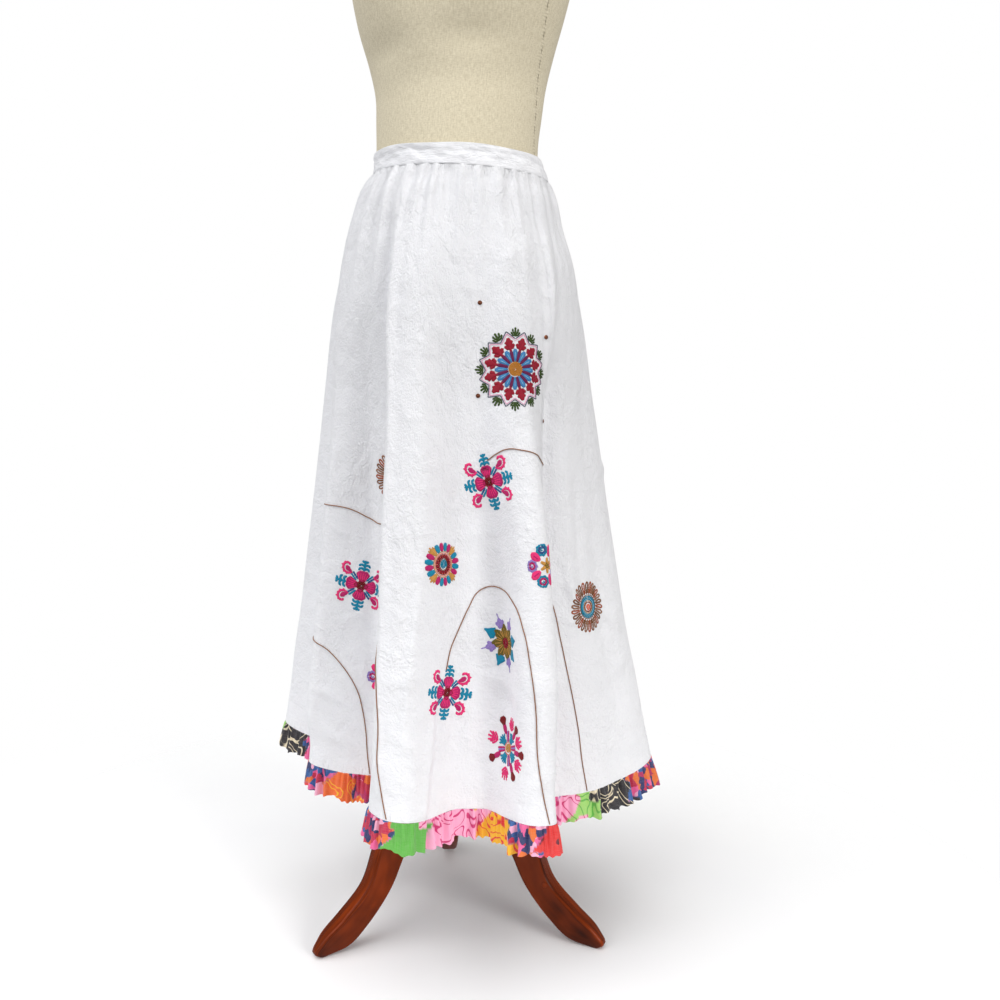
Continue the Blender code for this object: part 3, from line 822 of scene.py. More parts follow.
def print_figures_group() -> bpy.types.NodeTree:
    """Printed figures: a mosaic of bent cells, scrolling lines and big spots.

    Returns:
        A group with a vector in metres of cloth as its input. Its outputs are a number from 0
        to 1 for each cell of the mosaic, and the shares of the lines and the spots.
    """
    tree, sheet, start, end = new_group("print_figures", {"Vector": "NodeSocketVector"},
                                        ("Cell", "Lines", "Spots"))
    vector = start.outputs["Vector"]
    shove = sheet.add("ShaderNodeTexNoise", {"Vector": vector, "Scale": 70.0, "Detail": 1.0})
    pushed = sheet.add("ShaderNodeVectorMath", {0: shove.outputs["Color"], "Scale": 0.016},
                       operation="SCALE").outputs[0]
    bent = sheet.add("ShaderNodeVectorMath", {0: vector, 1: pushed}, operation="ADD").outputs[0]
    cells = sheet.add("ShaderNodeTexVoronoi", {"Vector": bent, "Scale": 78.0}, feature="F1")
    cell = sheet.add("ShaderNodeSeparateColor", {0: cells.outputs["Color"]}).outputs[0]
    field_ = sheet.noise(vector, 30.0, 0.0, 0.5, 0.9)
    lines = 0.0
    for level in (0.40, 0.56):
        away = sheet.math("ABSOLUTE", sheet.math("SUBTRACT", field_, level))
        lines = sheet.math("MAXIMUM", lines, sheet.range(away, 0.012, 0.022, 1.0, 0.0))
    blobs = sheet.add("ShaderNodeTexVoronoi", {"Vector": bent, "Scale": 46.0}, feature="F1")
    spots = sheet.range(blobs.outputs["Distance"], 0.21, 0.25, 1.0, 0.0)
    sheet.join(end, {"Cell": cell, "Lines": lines, "Spots": spots})
    return tree


def twist_group() -> bpy.types.NodeTree:
    """Twisted strands of a thread: diagonal waves along it, with uneven tone.

    Returns:
        A group with a vector in metres (along, across) and strands per metre as inputs, and
        the strands' height and tone as outputs.
    """
    inputs = {"Vector": "NodeSocketVector", "Per Metre": 900.0}
    tree, sheet, start, end = new_group("thread_twist", inputs, ("Height", "Tone"))
    split = sheet.add("ShaderNodeSeparateXYZ", {0: start.outputs["Vector"]})
    diagonal = sheet.math("ADD", split.outputs[0], split.outputs[1])
    turns = sheet.math("MULTIPLY", start.outputs["Per Metre"], 2 * math.pi)
    strands = sheet.math("SINE", sheet.math("MULTIPLY", diagonal, turns))
    height = sheet.math("MULTIPLY_ADD", strands, 0.5, 0.5)
    tone = sheet.noise(sheet.stretch(start.outputs["Vector"], (300.0, 900.0, 1.0)), 1.0, 2.0)
    sheet.join(end, {"Height": height, "Tone": tone})
    return tree


@dataclass
class Effects:
    """The node groups that the finishes share, each built once."""

    weave: bpy.types.NodeTree = field(default_factory=plain_weave_group)
    crinkle: bpy.types.NodeTree = field(default_factory=crinkle_group)
    seam: bpy.types.NodeTree = field(default_factory=seam_group)
    wood: bpy.types.NodeTree = field(default_factory=wood_grain_group)
    pucker: bpy.types.NodeTree = field(default_factory=pucker_group)
    figures: bpy.types.NodeTree = field(default_factory=print_figures_group)
    twist: bpy.types.NodeTree = field(default_factory=twist_group)


def start_material(name: str, roughness: float, **weights: float) -> tuple:
    """Start a material on the Principled shader, with its even values on the sockets.

    Args:
        name: The material's name.
        roughness: The even roughness, which may be joined over later.
        **weights: Other even values, by socket name with _ for a space.

    Returns:
        The material, its node sheet and its shader node.
    """
    material = bpy.data.materials.new(name)
    material.use_nodes = True
    sheet = NodeSheet(material.node_tree)
    shader = material.node_tree.nodes["Principled BSDF"]
    sheet.join(shader, {"Roughness": roughness})
    sheet.join(shader, {key.replace("_", " "): value for key, value in weights.items()})
    return material, sheet, shader


def set_relief(sheet: NodeSheet, shader: bpy.types.Node, layers: tuple) -> None:
    """Chain Bump nodes and join the last to the shader's normal.

    Args:
        sheet: The material's node sheet.
        shader: Its shader.
        layers: Pairs of a height socket and its real height in metres.
    """
    normal = None
    for height, distance in layers:
        inputs = {"Height": height, "Distance": distance, "Strength": 1.0}
        if normal is not None:
            inputs["Normal"] = normal
        normal = sheet.add("ShaderNodeBump", inputs).outputs[0]
    sheet.join(shader, {"Normal": normal})


@dataclass(frozen=True)
class CottonFinish:
    """White plain-woven cotton, washed and a little crinkled, with painted shade in its side seams."""

    name: str
    colour: tuple = srgb(250, 250, 252)
    shade: tuple = srgb(238, 238, 245)
    pitch: float = 0.0006
    weave_depth: float = 0.00006
    crinkle_depth: float = 0.0042
    creases_per_metre: float = 70.0
    crease_stretch: tuple = (1.0, 1.0, 1.0)
    pucker_depth: float = 0.0022

    def build(self, effects: Effects) -> bpy.types.Material:
        """Make the material, which reads the cloth's map in metres.

        Args:
            effects: The shared node groups.

        Returns:
            The material.
        """
        material, sheet, shader = start_material(self.name, 0.82, Sheen_Weight=0.18,
                                                 Sheen_Roughness=0.45, Specular_IOR_Level=0.25)
        cloth = sheet.add("ShaderNodeUVMap", uv_map="cloth").outputs[0]
        split = sheet.add("ShaderNodeSeparateXYZ", {0: cloth})
        weave = sheet.group(effects.weave, {"Vector": cloth, "Pitch": self.pitch})
        crinkle = sheet.group(effects.crinkle,
                              {"Vector": sheet.stretch(cloth, self.crease_stretch),
                               "Per Metre": self.creases_per_metre})
        side = sheet.add("ShaderNodeAttribute", attribute_name="seam_distance").outputs["Fac"]
        edge = sheet.add("ShaderNodeAttribute", attribute_name="edge_distance").outputs["Fac"]
        seam = sheet.group(effects.seam, {"Distance": side, "Along": split.outputs[1]})
        pucker = sheet.group(effects.pucker, {"Vector": cloth, "Distance": edge})
        worn = sheet.math("MULTIPLY", weave.outputs["Tone"], 0.5)
        toned = sheet.mix(worn, self.colour, self.shade)
        # Painted shade: the seam's furrow is painted a little darker, towards grey-blue, where the seam
        # dips.
        dark = sheet.math("MULTIPLY", seam.outputs["Furrow Shade"], 0.03)
        painted_seam_shaded = sheet.mix(dark, toned, srgb(190, 190, 202))
        sheet.join(shader, {"Base Color": painted_seam_shaded})
        set_relief(sheet, shader, ((crinkle.outputs["Height"], self.crinkle_depth),
                                   (pucker.outputs["Height"], self.pucker_depth),
                                   (seam.outputs["Height"], 0.00007),
                                   (weave.outputs["Height"], self.weave_depth)))
        return material


MOSAIC_COLOURS = (srgb(34, 92, 160), srgb(196, 24, 72), srgb(232, 112, 36), srgb(236, 96, 156),
                  srgb(26, 44, 104), srgb(248, 176, 206), srgb(178, 20, 92))


@dataclass(frozen=True)
class PrintFinish:
    """Printed plain-woven cotton: patches of two colours each, from the piece's attributes."""

    name: str
    pitch: float = 0.0005
    weave_depth: float = 0.00005
    crinkle_depth: float = 0.0012
    pucker_depth: float = 0.0024

    def build(self, effects: Effects) -> bpy.types.Material:
        """Make the material, which reads the cloth's map and its colour attributes.

        Args:
            effects: The shared node groups.

        Returns:
            The material.
        """
        material, sheet, shader = start_material(self.name, 0.78, Sheen_Weight=0.15,
                                                 Sheen_Roughness=0.4, Specular_IOR_Level=0.3)
        cloth = sheet.add("ShaderNodeUVMap", uv_map="cloth").outputs[0]
        down = sheet.add("ShaderNodeSeparateXYZ", {0: cloth}).outputs[1]
        read = {name: sheet.add("ShaderNodeAttribute", attribute_name=name)
                for name in ("ground", "figure", "mosaic", "scroll", "spots")}
        drawn = sheet.group(effects.figures, {"Vector": cloth})
        weave = sheet.group(effects.weave, {"Vector": cloth, "Pitch": self.pitch})
        crinkle = sheet.group(effects.crinkle, {"Vector": cloth, "Per Metre": 80.0})
        pucker = sheet.group(effects.pucker, {"Vector": cloth, "Distance": down, "Reach": 0.03})
        ramp = sheet.add("ShaderNodeValToRGB", {0: drawn.outputs["Cell"]})
        ramp.color_ramp.interpolation = "CONSTANT"
        while len(ramp.color_ramp.elements) < len(MOSAIC_COLOURS):
            ramp.color_ramp.elements.new(0.5)
        for number, colour in enumerate(MOSAIC_COLOURS):
            ramp.color_ramp.elements[number].position = number / len(MOSAIC_COLOURS)
            ramp.color_ramp.elements[number].color = (*colour, 1.0)
        inked = sheet.mix(read["mosaic"].outputs["Fac"], read["ground"].outputs["Color"],
                          ramp.outputs["Color"])
        for name, mask in (("scroll", "Lines"), ("spots", "Spots")):
            share = sheet.math("MULTIPLY", read[name].outputs["Fac"], drawn.outputs[mask])
            inked = sheet.mix(share, inked, read["figure"].outputs["Color"])
        faded = sheet.math("MULTIPLY", weave.outputs["Tone"], 0.10)
        shown = sheet.mix(faded, inked, srgb(250, 240, 232))
        sheet.join(shader, {"Base Color": shown})
        set_relief(sheet, shader, ((crinkle.outputs["Height"], self.crinkle_depth),
                                   (pucker.outputs["Height"], self.pucker_depth),
                                   (weave.outputs["Height"], self.weave_depth)))
        return material


@dataclass(frozen=True)
class ThreadFinish:
    """Shiny embroidery thread in the colour of each stitch, with its twist."""

    name: str
    strands_per_metre: float = 1000.0
    twist_depth: float = 0.00012

    def build(self, effects: Effects) -> bpy.types.Material:
        """Make the material, which reads the stitches' colour attribute and their map.

        Args:
            effects: The shared node groups.

        Returns:
            The material.
        """
        material, sheet, shader = start_material(self.name, 0.5, Sheen_Weight=0.06,
                                                 Sheen_Roughness=0.35, Specular_IOR_Level=0.3)
        map_ = sheet.add("ShaderNodeUVMap", uv_map="cloth").outputs[0]
        colour = sheet.add("ShaderNodeAttribute", attribute_name="thread").outputs["Color"]
        twist = sheet.group(effects.twist, {"Vector": map_, "Per Metre": self.strands_per_metre})
        tone = sheet.range(twist.outputs["Tone"], 0.3, 0.7, 0.78, 1.2)
        node = sheet.add("ShaderNodeVectorMath", {0: colour, "Scale": tone}, operation="SCALE")
        sheet.join(shader, {"Base Color": node.outputs[0]})
        rough = sheet.range(twist.outputs["Tone"], 0.3, 0.7, 0.42, 0.6)
        sheet.join(shader, {"Roughness": rough})
        set_relief(sheet, shader, ((twist.outputs["Height"], self.twist_depth),))
        return material


@dataclass(frozen=True)
class LinenFinish:
    """Heathered beige linen stretched over the torso, with painted shade in its sewn seams."""

    name: str
    light: tuple = srgb(242, 232, 206)
    dark: tuple = srgb(212, 200, 171)
    pitch: float = 0.0009

    def build(self, effects: Effects) -> bpy.types.Material:
        """Make the material, which reads the torso's map in metres.

        Args:
            effects: The shared node groups.

        Returns:
            The material.
        """
        material, sheet, shader = start_material(self.name, 0.85, Sheen_Weight=0.1,
                                                 Sheen_Roughness=0.5, Specular_IOR_Level=0.25)
        cloth = sheet.add("ShaderNodeUVMap", uv_map="cloth").outputs[0]
        split = sheet.add("ShaderNodeSeparateXYZ", {0: cloth})
        weave = sheet.group(effects.weave, {"Vector": cloth, "Pitch": self.pitch})
        heather = sheet.noise(sheet.stretch(cloth, (420.0, 130.0, 1.0)), 1.0, 4.0, 0.7)
        flecks = sheet.noise(sheet.stretch(cloth, (160.0, 900.0, 1.0)), 1.0, 2.0, 0.6)
        mixed = sheet.math("ADD", sheet.math("MULTIPLY", heather, 0.6),
                           sheet.math("MULTIPLY", flecks, 0.4))
        amount = sheet.range(mixed, 0.36, 0.64, 0.0, 1.0)
        toned = sheet.mix(amount, self.light, self.dark)
        distance = sheet.add("ShaderNodeAttribute", attribute_name="seam_distance").outputs["Fac"]
        seam = sheet.group(effects.seam, {"Distance": distance, "Along": split.outputs[1],
                                          "Half Width": 0.0015})
        # Painted shade: the seams' furrows are painted much darker, towards brown, where the seams dip.
        dark = sheet.math("MULTIPLY", seam.outputs["Furrow Shade"], 0.75)
        painted_seam_shaded = sheet.mix(dark, toned, srgb(140, 126, 98))
        sheet.join(shader, {"Base Color": painted_seam_shaded})
        set_relief(sheet, shader, ((seam.outputs["Height"], 0.0007),
                                   (weave.outputs["Height"], 0.00012)))
        return material


@dataclass(frozen=True)
class WoodFinish:
    """Dark red-brown wood under glossy varnish. Its grain runs along the map or along Z."""

    name: str
    mapped: bool
    light: tuple = srgb(128, 48, 8)
    dark: tuple = srgb(32, 7, 2)

    def build(self, effects: Effects) -> bpy.types.Material:
        """Make the material.

        Args:
            effects: The shared node groups.

        Returns:
            The material.
        """
        material, sheet, shader = start_material(self.name, 0.38, Coat_Roughness=0.1,
                                                 Coat_Weight=0.16, Specular_IOR_Level=0.04)
        if self.mapped:
            grain_way = sheet.add("ShaderNodeUVMap", uv_map="cloth").outputs[0]
        else:
            place = sheet.add("ShaderNodeTexCoord").outputs["Object"]
            split = sheet.add("ShaderNodeSeparateXYZ", {0: place})
            grain_way = sheet.add("ShaderNodeCombineXYZ", {0: split.outputs[2], 1: split.outputs[0],
                                                           2: split.outputs[1]}).outputs[0]
        grain = sheet.group(effects.wood, {"Vector": grain_way})
        amount = sheet.range(grain.outputs["Tone"], 0.38, 0.62, 0.0, 1.0)
        toned = sheet.mix(amount, self.light, self.dark)
        sheet.join(shader, {"Base Color": toned})
        rough = sheet.range(grain.outputs["Tone"], 0.35, 0.65, 0.3, 0.46)
        sheet.join(shader, {"Roughness": rough})
        set_relief(sheet, shader, ((grain.outputs["Height"], 0.00008),))
        return material


@dataclass(frozen=True)
class MetalFinish:
    """Bronze-coloured metal of the sequins, with fine scratches."""

    name: str
    light: tuple = srgb(158, 100, 72)
    dark: tuple = srgb(78, 38, 28)

    def build(self) -> bpy.types.Material:
        """Make the material."""
        material, sheet, shader = start_material(self.name, 0.3, Metallic=0.85)
        place = sheet.add("ShaderNodeTexCoord").outputs["Object"]
        marks = sheet.noise(sheet.stretch(place, (2500.0, 2500.0, 900.0)), 1.0, 2.0)
        toned = sheet.mix(sheet.range(marks, 0.35, 0.65, 0.0, 1.0), self.light, self.dark)
        sheet.join(shader, {"Base Color": toned})
        rough = sheet.range(marks, 0.3, 0.7, 0.22, 0.45)
        sheet.join(shader, {"Roughness": rough})
        return material


@dataclass
class SkirtCloth:
    """The skirt's cloth as one smooth surface, from the waist seam to the hem.

    A ring of it is a plain oval opened towards the hem's plan. The cloth between two rings has
    a fixed length, so a column that runs outwards hangs less far down. Between the rings each
    column is a smooth curve, and the gathers and creases stand out from it.
    """

    axis: np.ndarray
    rows: int = 126
    columns: int = 720
    gather_share: float = 0.3
    gather_waves: tuple = (DriftingWave(1.0, 36, 0.14, (7, 11)), DriftingWave(0.5, 61, 0.25, (4, 9)),
                           DriftingWave(0.5, 23, 0.3, (3, 5)))
    gather_ends: tuple = (0.06, 0.8)
    gather_depth_share: float = 0.8
    ripple_depth: float = 0.0009
    ripple_start: float = 0.1
    fold_softness: float = 2.3
    softening_reach: float = 12.0
    plan_step: float = 0.5
    plan_samples: int = 1500
    evening_columns: int = 12
    hem_angles: np.ndarray = field(init=False)
    hem_radii: np.ndarray = field(init=False)
    share: np.ndarray = field(init=False)
    drop: np.ndarray = field(init=False)
    points: np.ndarray = field(init=False)
    normals: np.ndarray = field(init=False)
    around: np.ndarray = field(init=False)

    def __post_init__(self) -> None:
        """Work out the whole grid, its normals and its scale round."""
        self.share = np.linspace(0.0, 1.0, self.columns + 1)
        self.drop = np.linspace(0.0, SKIRT_RINGS[-1].drop, self.rows)
        self.hem_angles, self.hem_radii = self.soft_hem()
        plain = self.plain_surface(self.share)
        self.around = self.scale_round(plain)
        self.points = self.creased(plain)
        self.normals = tube_normals(self.points)

    def soft_hem(self) -> tuple[np.ndarray, np.ndarray]:
        """The hem's plan once round: straight lines through its table, softened by a bell curve.

        Returns:
            Angles in even steps, and the radius at each.
        """
        angles = np.arange(-180.0, 180.0, self.plan_step)
        table = np.array(HEM_PLAN)
        plain = np.interp(angles, table[:, 0], table[:, 1], period=360.0)
        reach = round(self.softening_reach / self.plan_step)
        steps = np.arange(-reach, reach + 1)
        bell = np.exp(-0.5 * (steps * self.plan_step / self.fold_softness) ** 2)
        bell /= bell.sum()
        return angles, sum(w * np.roll(plain, step) for step, w in zip(steps, bell))

    def hem_radius(self, angle: np.ndarray) -> np.ndarray:
        """Distance from the pole to the hem at an angle."""
        return np.interp(angle, self.hem_angles, self.hem_radii, period=360.0)

    def even_angles(self, radius_at: object, share: np.ndarray) -> np.ndarray:
        """Angles at which the cloth lies, evenly by length between the side seams.

        Args:
            radius_at: The function that gives an outline's radius at an angle.
            share: Shares of the way round.

        Returns:
            An angle in degrees for each share.
        """
        first, second = SIDE_SEAM_ANGLES
        result = np.empty_like(share)
        for start, end, low in ((first, second, 0.0), (second, first + 360.0, 0.5)):
            dense = np.linspace(start, end, self.plan_samples)
            points = direction(dense) * radius_at(dense)[:, None]
            length = length_along(points)
            inside = (share >= low) & (share <= low + 0.5)
            result[inside] = np.interp((share[inside] - low) * 2 * length[-1], length, dense)
        return result

    def plain_surface(self, share: np.ndarray) -> np.ndarray:
        """The cloth with its folds and gathers but no creases.

        Args:
            share: Shares of the way round, one for each column.

        Returns:
            Rows by columns by x, y and z.
        """
        top = SKIRT_RINGS[0]
        waist_angle = self.even_angles(
            lambda angle: oval_radius(top.half_width, top.half_depth, angle), share)
        hem_angle = self.even_angles(self.hem_radius, share)
        lean = direction(np.array(WAIST_DROP_ANGLE))
        rings, angles = [], []
        height = above = plan_above = None
        for ring in SKIRT_RINGS:
            angle = (1 - ring.fold) * waist_angle + ring.fold * hem_angle
            oval = oval_radius(ring.half_width, ring.half_depth, angle)
            radius = (1 - ring.fold) * oval + ring.fold * self.hem_radius(angle)
            plan = direction(angle) * radius[:, None] + lean * ring.shift * (1 - ring.fold)
            if above is None:
                height = WAIST_SEAM_HEIGHT - WAIST_DROP_SLOPE * (plan @ lean)
            else:
                sideways = np.linalg.norm(plan - plan_above, axis=1)
                height = height - np.sqrt((ring.drop - above.drop) ** 2 - sideways**2)
            rings.append(np.column_stack([plan, height]))
            angles.append(angle)
            above, plan_above = ring, plan
        drops = np.array([ring.drop for ring in SKIRT_RINGS])
        points = smooth_between(np.array(rings), drops, self.drop)
        swing = np.interp(self.drop, drops, [ring.gather for ring in SKIRT_RINGS])
        wave = self.gather_share * sum(
            one.share * wave_round(share, one.count, one.unevenness, one.cycles)
            for one in self.gather_waves)
        outward = direction(smooth_between(np.array(angles), drops, self.drop))
        points[:, :, :2] += outward * (swing[:, None] * wave[None, :])[:, :, None]
        points[:, :, :2] += self.axis[:2]
        return points

    def scale_round(self, points: np.ndarray) -> np.ndarray:
        """Metres of cloth for a whole share round, at each row, evened out along the row.

        Args:
            points: The surface's grid.

        Returns:
            Rows by columns.
        """
        steps = np.linalg.norm(np.diff(points, axis=1), axis=2) / np.diff(self.share)
        closed = np.concatenate([steps, steps[:, :1]], axis=1)
        reach = self.evening_columns
        evened = sum(np.roll(closed[:, :-1], shift, axis=1) for shift in range(-reach, reach + 1))
        evened /= 2 * reach + 1
        return np.concatenate([evened, evened[:, :1]], axis=1)

    def creased(self, points: np.ndarray) -> np.ndarray:
        """Raise the folds, gathers and creases, each a bell curve across its line.

        A faint ripple lies over all the cloth: the product of two slow waves that bend.

        Args:
            points: The surface's grid.

        Returns:
            The grid with its creases.
        """
        gathers = [Fold(((one.top, 0.0), (one.low, one.length)), one.width,
                        one.depth * self.gather_depth_share, self.gather_ends) for one in GATHERS]
        raised = sum(self.fold_height(fold) for fold in (*FOLDS, *gathers))
        raised = raised + sum(self.crease_height(crease) for crease in CREASES)
        share, drop = self.share[None, :], self.drop[:, None]
        ripple = (np.sin(2 * np.pi * (9 * share + 1.6 * drop) + 2.0 * np.sin(9.0 * drop))
                  * np.sin(2 * np.pi * (3.1 * drop + 0.2 * np.sin(2 * np.pi * 5 * share))))
        raised = raised + self.ripple_depth * ripple * ease(drop / self.ripple_start)
        return points + tube_normals(points) * raised[:, :, None]

    def fold_height(self, fold: Fold) -> np.ndarray:
        """How far a fold raises each point: its fade down it times a bell curve across it."""
        path = np.array(fold.path)
        first, last = path[0, 1], path[-1, 1]
        line = smooth_between(path[:, 0], path[:, 1], np.clip(self.drop, first, last))
        away = (self.share[None, :] - line[:, None] + 0.5) % 1.0 - 0.5
        along = (self.drop - first) / (last - first)
        fade = ease(along / fold.ends[0]) * ease((1 - along) / fold.ends[1])
        bell = np.exp(-((away * self.around / fold.width) ** 2))
        return fold.depth * fade[:, None] * bell

    def crease_height(self, crease: Crease) -> np.ndarray:
        """How far a crease raises each point: an arch along it times a bell curve across it."""
        (start, high), (end, low) = crease.start, crease.end
        row = int(round((high + low) / 2 / self.drop[-1] * (self.rows - 1)))
        scale = self.around[row].mean()
        right = ((self.share[None, :] - start + 0.5) % 1.0 - 0.5) * scale
        down = self.drop[:, None] - high
        run, fall = (end - start) * scale, low - high
        length = math.hypot(run, fall)
        along = (right * run + down * fall) / length**2
        across = (right * fall - down * run) / length
        fade = np.clip(4 * along * (1 - along), 0.0, 1.0)
        return crease.depth * fade * np.exp(-((across / crease.width) ** 2))

    def lay(self, share: np.ndarray, down: np.ndarray, lift: np.ndarray) -> np.ndarray:
        """Points over given places on the cloth, between its grid's points.

        Args:
            share: Shares of the way round.
            down: Lengths of cloth down from the waist seam.
            lift: Distances out from the middle of the cloth.

        Returns:
            An array with x, y and z added as its last axis.
        """
        column = np.mod(share, 1.0) * self.columns
        row = np.clip(down / self.drop[-1], 0.0, 1.0) * (self.rows - 1)
        c0 = np.clip(column.astype(int), 0, self.columns - 1)
        r0 = np.clip(row.astype(int), 0, self.rows - 2)
        fc, fr = (column - c0)[..., None], (row - r0)[..., None]
        weights = (((1 - fr) * (1 - fc), r0, c0), ((1 - fr) * fc, r0, c0 + 1),
                   (fr * (1 - fc), r0 + 1, c0), (fr * fc, r0 + 1, c0 + 1))
        point = sum(w * self.points[r, c] for w, r, c in weights)
        normal = sum(w * self.normals[r, c] for w, r, c in weights)
        normal /= np.linalg.norm(normal, axis=-1, keepdims=True)
        return point + normal * lift[..., None]

    def spread(self, flat: np.ndarray, place: Place) -> tuple[np.ndarray, np.ndarray]:
        """Where a flat drawing's points come on the cloth.

        Args:
            flat: Points in metres, right and up from the drawing's middle, on the last axis.
            place: Where its middle lies.

        Returns:
            Shares round, and lengths down.
        """
        down = place.down - flat[..., 1]
        row = np.clip(down / self.drop[-1], 0.0, 1.0) * (self.rows - 1)
        column = int(round(place.round * self.columns)) % self.columns
        scale = np.interp(row.ravel(), np.arange(self.rows), self.around[:, column])
        return place.round + place.narrow * flat[..., 0] / scale.reshape(down.shape), down


@dataclass
class Skirt:
    """The front and back panels of the skirt."""

    cloth: SkirtCloth
    thickness: float = 0.0007

    def make(self, material: bpy.types.Material) -> list:
        """Make both panels, each a thin wall on the cloth's surface.

        Args:
            material: Their finish.

        Returns:
            The front panel and the back panel.
        """
        half = self.cloth.columns // 2
        return [self.panel("skirt_front_panel", 0, half, material),
                self.panel("skirt_back_panel", half, 2 * half, material)]

    def panel(self, name: str, first: int, last: int,
              material: bpy.types.Material) -> bpy.types.Object:
        """Make one panel, from one column of the cloth to another.

        Args:
            name: The panel's name.
            first: Its first column.
            last: Its last column.
            material: Its finish.

        Returns:
            The panel.
        """
        cloth = self.cloth
        points = cloth.points[:, first:last + 1]
        share = cloth.share[first:last + 1]
        around = np.broadcast_to(share * cloth.around[-1].mean(), points.shape[:2])
        down = np.broadcast_to(cloth.drop[:, None], points.shape[:2])
        near = np.minimum(share - share[0], share[-1] - share)
        distance = near[None, :] * cloth.around[:, first:last + 1]
        edge = np.minimum(down, cloth.drop[-1] - down)
        surface = Surface(name, points.reshape(-1, 3), grid_quads(*points.shape[:2]),
                          uv=np.stack([around.ravel(), down.ravel()], axis=1),
                          values={"seam_distance": distance.ravel(),
                                  "edge_distance": edge.ravel()})
        piece = surface.build(material)
        give_thickness(piece, self.thickness)
        return piece


@dataclass
class Waistband:
    """The waistband: a doubled strip, rolled a little at its top edge, with long wrinkles."""

    cloth: SkirtCloth
    thickness: float = 0.0019
    columns: int = 480
    side_rows: int = 12
    roll_rows: int = 5
    wrinkle: float = 0.0010
    wrinkle_waves: tuple = (Wave(1.0, 9, 5.0, 0.0), Wave(0.7, 17, -7.0, 1.3), Wave(0.5, 29, 9.0, 0.4))
    fold_level: float = 0.68
    fold_breadth: float = 0.07
    edge_rise: float = 0.0006
    edge_share: float = 0.35
    edge_rows: float = 5.0
    length_round: float = 0.7
    strip_width: float = 0.056

    def middle(self, rise: np.ndarray, share: np.ndarray) -> np.ndarray:
        """Middle of the band's wall: its ovals, joined smoothly, and its wrinkles.

        Args:
            rise: Heights over the waist seam, one for each row.
            share: Shares of the way round, one for each column.

        Returns:
            Rows by columns by x, y and z.
        """
        top = SKIRT_RINGS[0]
        angle = self.cloth.even_angles(
            lambda value: oval_radius(top.half_width, top.half_depth, value), share)
        table = smooth_between(np.array(BAND_RINGS), [ring.rise for ring in BAND_RINGS], rise)
        radius = oval_radius(table[:, 1:2], table[:, 2:3], angle[None, :])
        lean = direction(np.array(WAIST_DROP_ANGLE))
        level = (rise / BAND_RINGS[-1].rise)[:, None]
        turn = 2 * np.pi * share[None, :]
        ripple = sum(wave.share * np.sin(wave.count * turn + wave.lean * level + wave.start)
                     for wave in self.wrinkle_waves)
        pull = np.sin(np.pi * np.clip(level, 0.0, 1.0)) ** 0.7
        line = self.fold_level + 0.06 * np.sin(5 * turn + 0.8)
        fold = np.exp(-(((level - line) / self.fold_breadth) ** 2))
        radius = radius + self.wrinkle * (ripple * pull * 0.6 - 1.1 * fold)
        plan = direction(angle)[None] * radius[..., None] + lean * table[:, 3, None, None]
        height = WAIST_SEAM_HEIGHT + rise[:, None] - WAIST_DROP_SLOPE * (plan @ lean)
        height = height + self.edge_rise * level * np.sin(6 * turn + 1.0)
        return np.concatenate([plan + self.cloth.axis[:2], height[..., None]], axis=2)

    def wall(self, share: np.ndarray) -> np.ndarray:
        """The band's whole skin: up the outside, round the top edge and down the inside.

        Args:
            share: Shares of the way round, one for each column.

        Returns:
            Rows by columns by x, y and z.
        """
        bottom, top = BAND_RINGS[0].rise, BAND_RINGS[-1].rise
        rise = np.linspace(top, bottom, self.side_rows)
        middle = self.middle(rise, share)
        down = np.gradient(middle, axis=0)
        around = np.gradient(middle, axis=1)
        out = np.cross(down, around)
        out /= np.linalg.norm(out, axis=2, keepdims=True)
        full = ease(np.linspace(self.edge_rows, 0.0, self.side_rows))
        thin = self.edge_share + (1 - self.edge_share) * full
        half = self.thickness / 2
        outer = middle + out * (half * thin)[:, None, None]
        inner = middle - out * (half * thin)[:, None, None]
        up = -down[:1] / np.linalg.norm(down[:1], axis=2, keepdims=True)
        turn = np.linspace(0.0, np.pi, self.roll_rows + 2)[1:-1, None, None]
        roll = middle[:1] + half * (np.cos(turn) * out[:1] + np.sin(turn) * up)
        return np.concatenate([outer[::-1], roll, inner], axis=0)

    def make(self, material: bpy.types.Material) -> list:
        """Make the band's front and back lengths, closed at the seam side and the ends.

        Args:
            material: Their finish.

        Returns:
            The front length and the back length.
        """
        pieces = []
        gap = SEAM_GAP / 2 / self.length_round
        for name, low in (("waistband_front_length", 0.0), ("waistband_back_length", 0.5)):
            share = np.linspace(low + gap, low + 0.5 - gap, self.columns // 2)
            points = self.wall(share)[::-1]
            rows, columns = points.shape[:2]
            quads = grid_quads(rows, columns)
            index = np.arange(rows * columns).reshape(rows, columns)
            under = np.stack([index[-1, :-1], index[0, :-1], index[0, 1:], index[-1, 1:]], axis=1)
            ends = [index[::-1, 0], index[:, -1]]
            level = np.linspace(0.0, self.strip_width, rows)[:, None] * np.ones((1, columns))
            around = np.broadcast_to(share * self.length_round, (rows, columns))
            near = np.minimum(share - share[0], share[-1] - share) * self.length_round
            surface = Surface(name, points.reshape(-1, 3), np.concatenate([quads, under]),
                              caps=ends, uv=np.stack([around.ravel(), level.ravel()], axis=1),
                              values={"seam_distance": np.tile(near, rows),
                                      "edge_distance": np.ones(rows * columns)})
            pieces.append(surface.build(material))
        return pieces


@dataclass(frozen=True)
class Patch:
    """A patch of the frill's print: its width against the others, two colours and a figure."""

    width: float
    ground: tuple
    figure: tuple
    kind: Figure


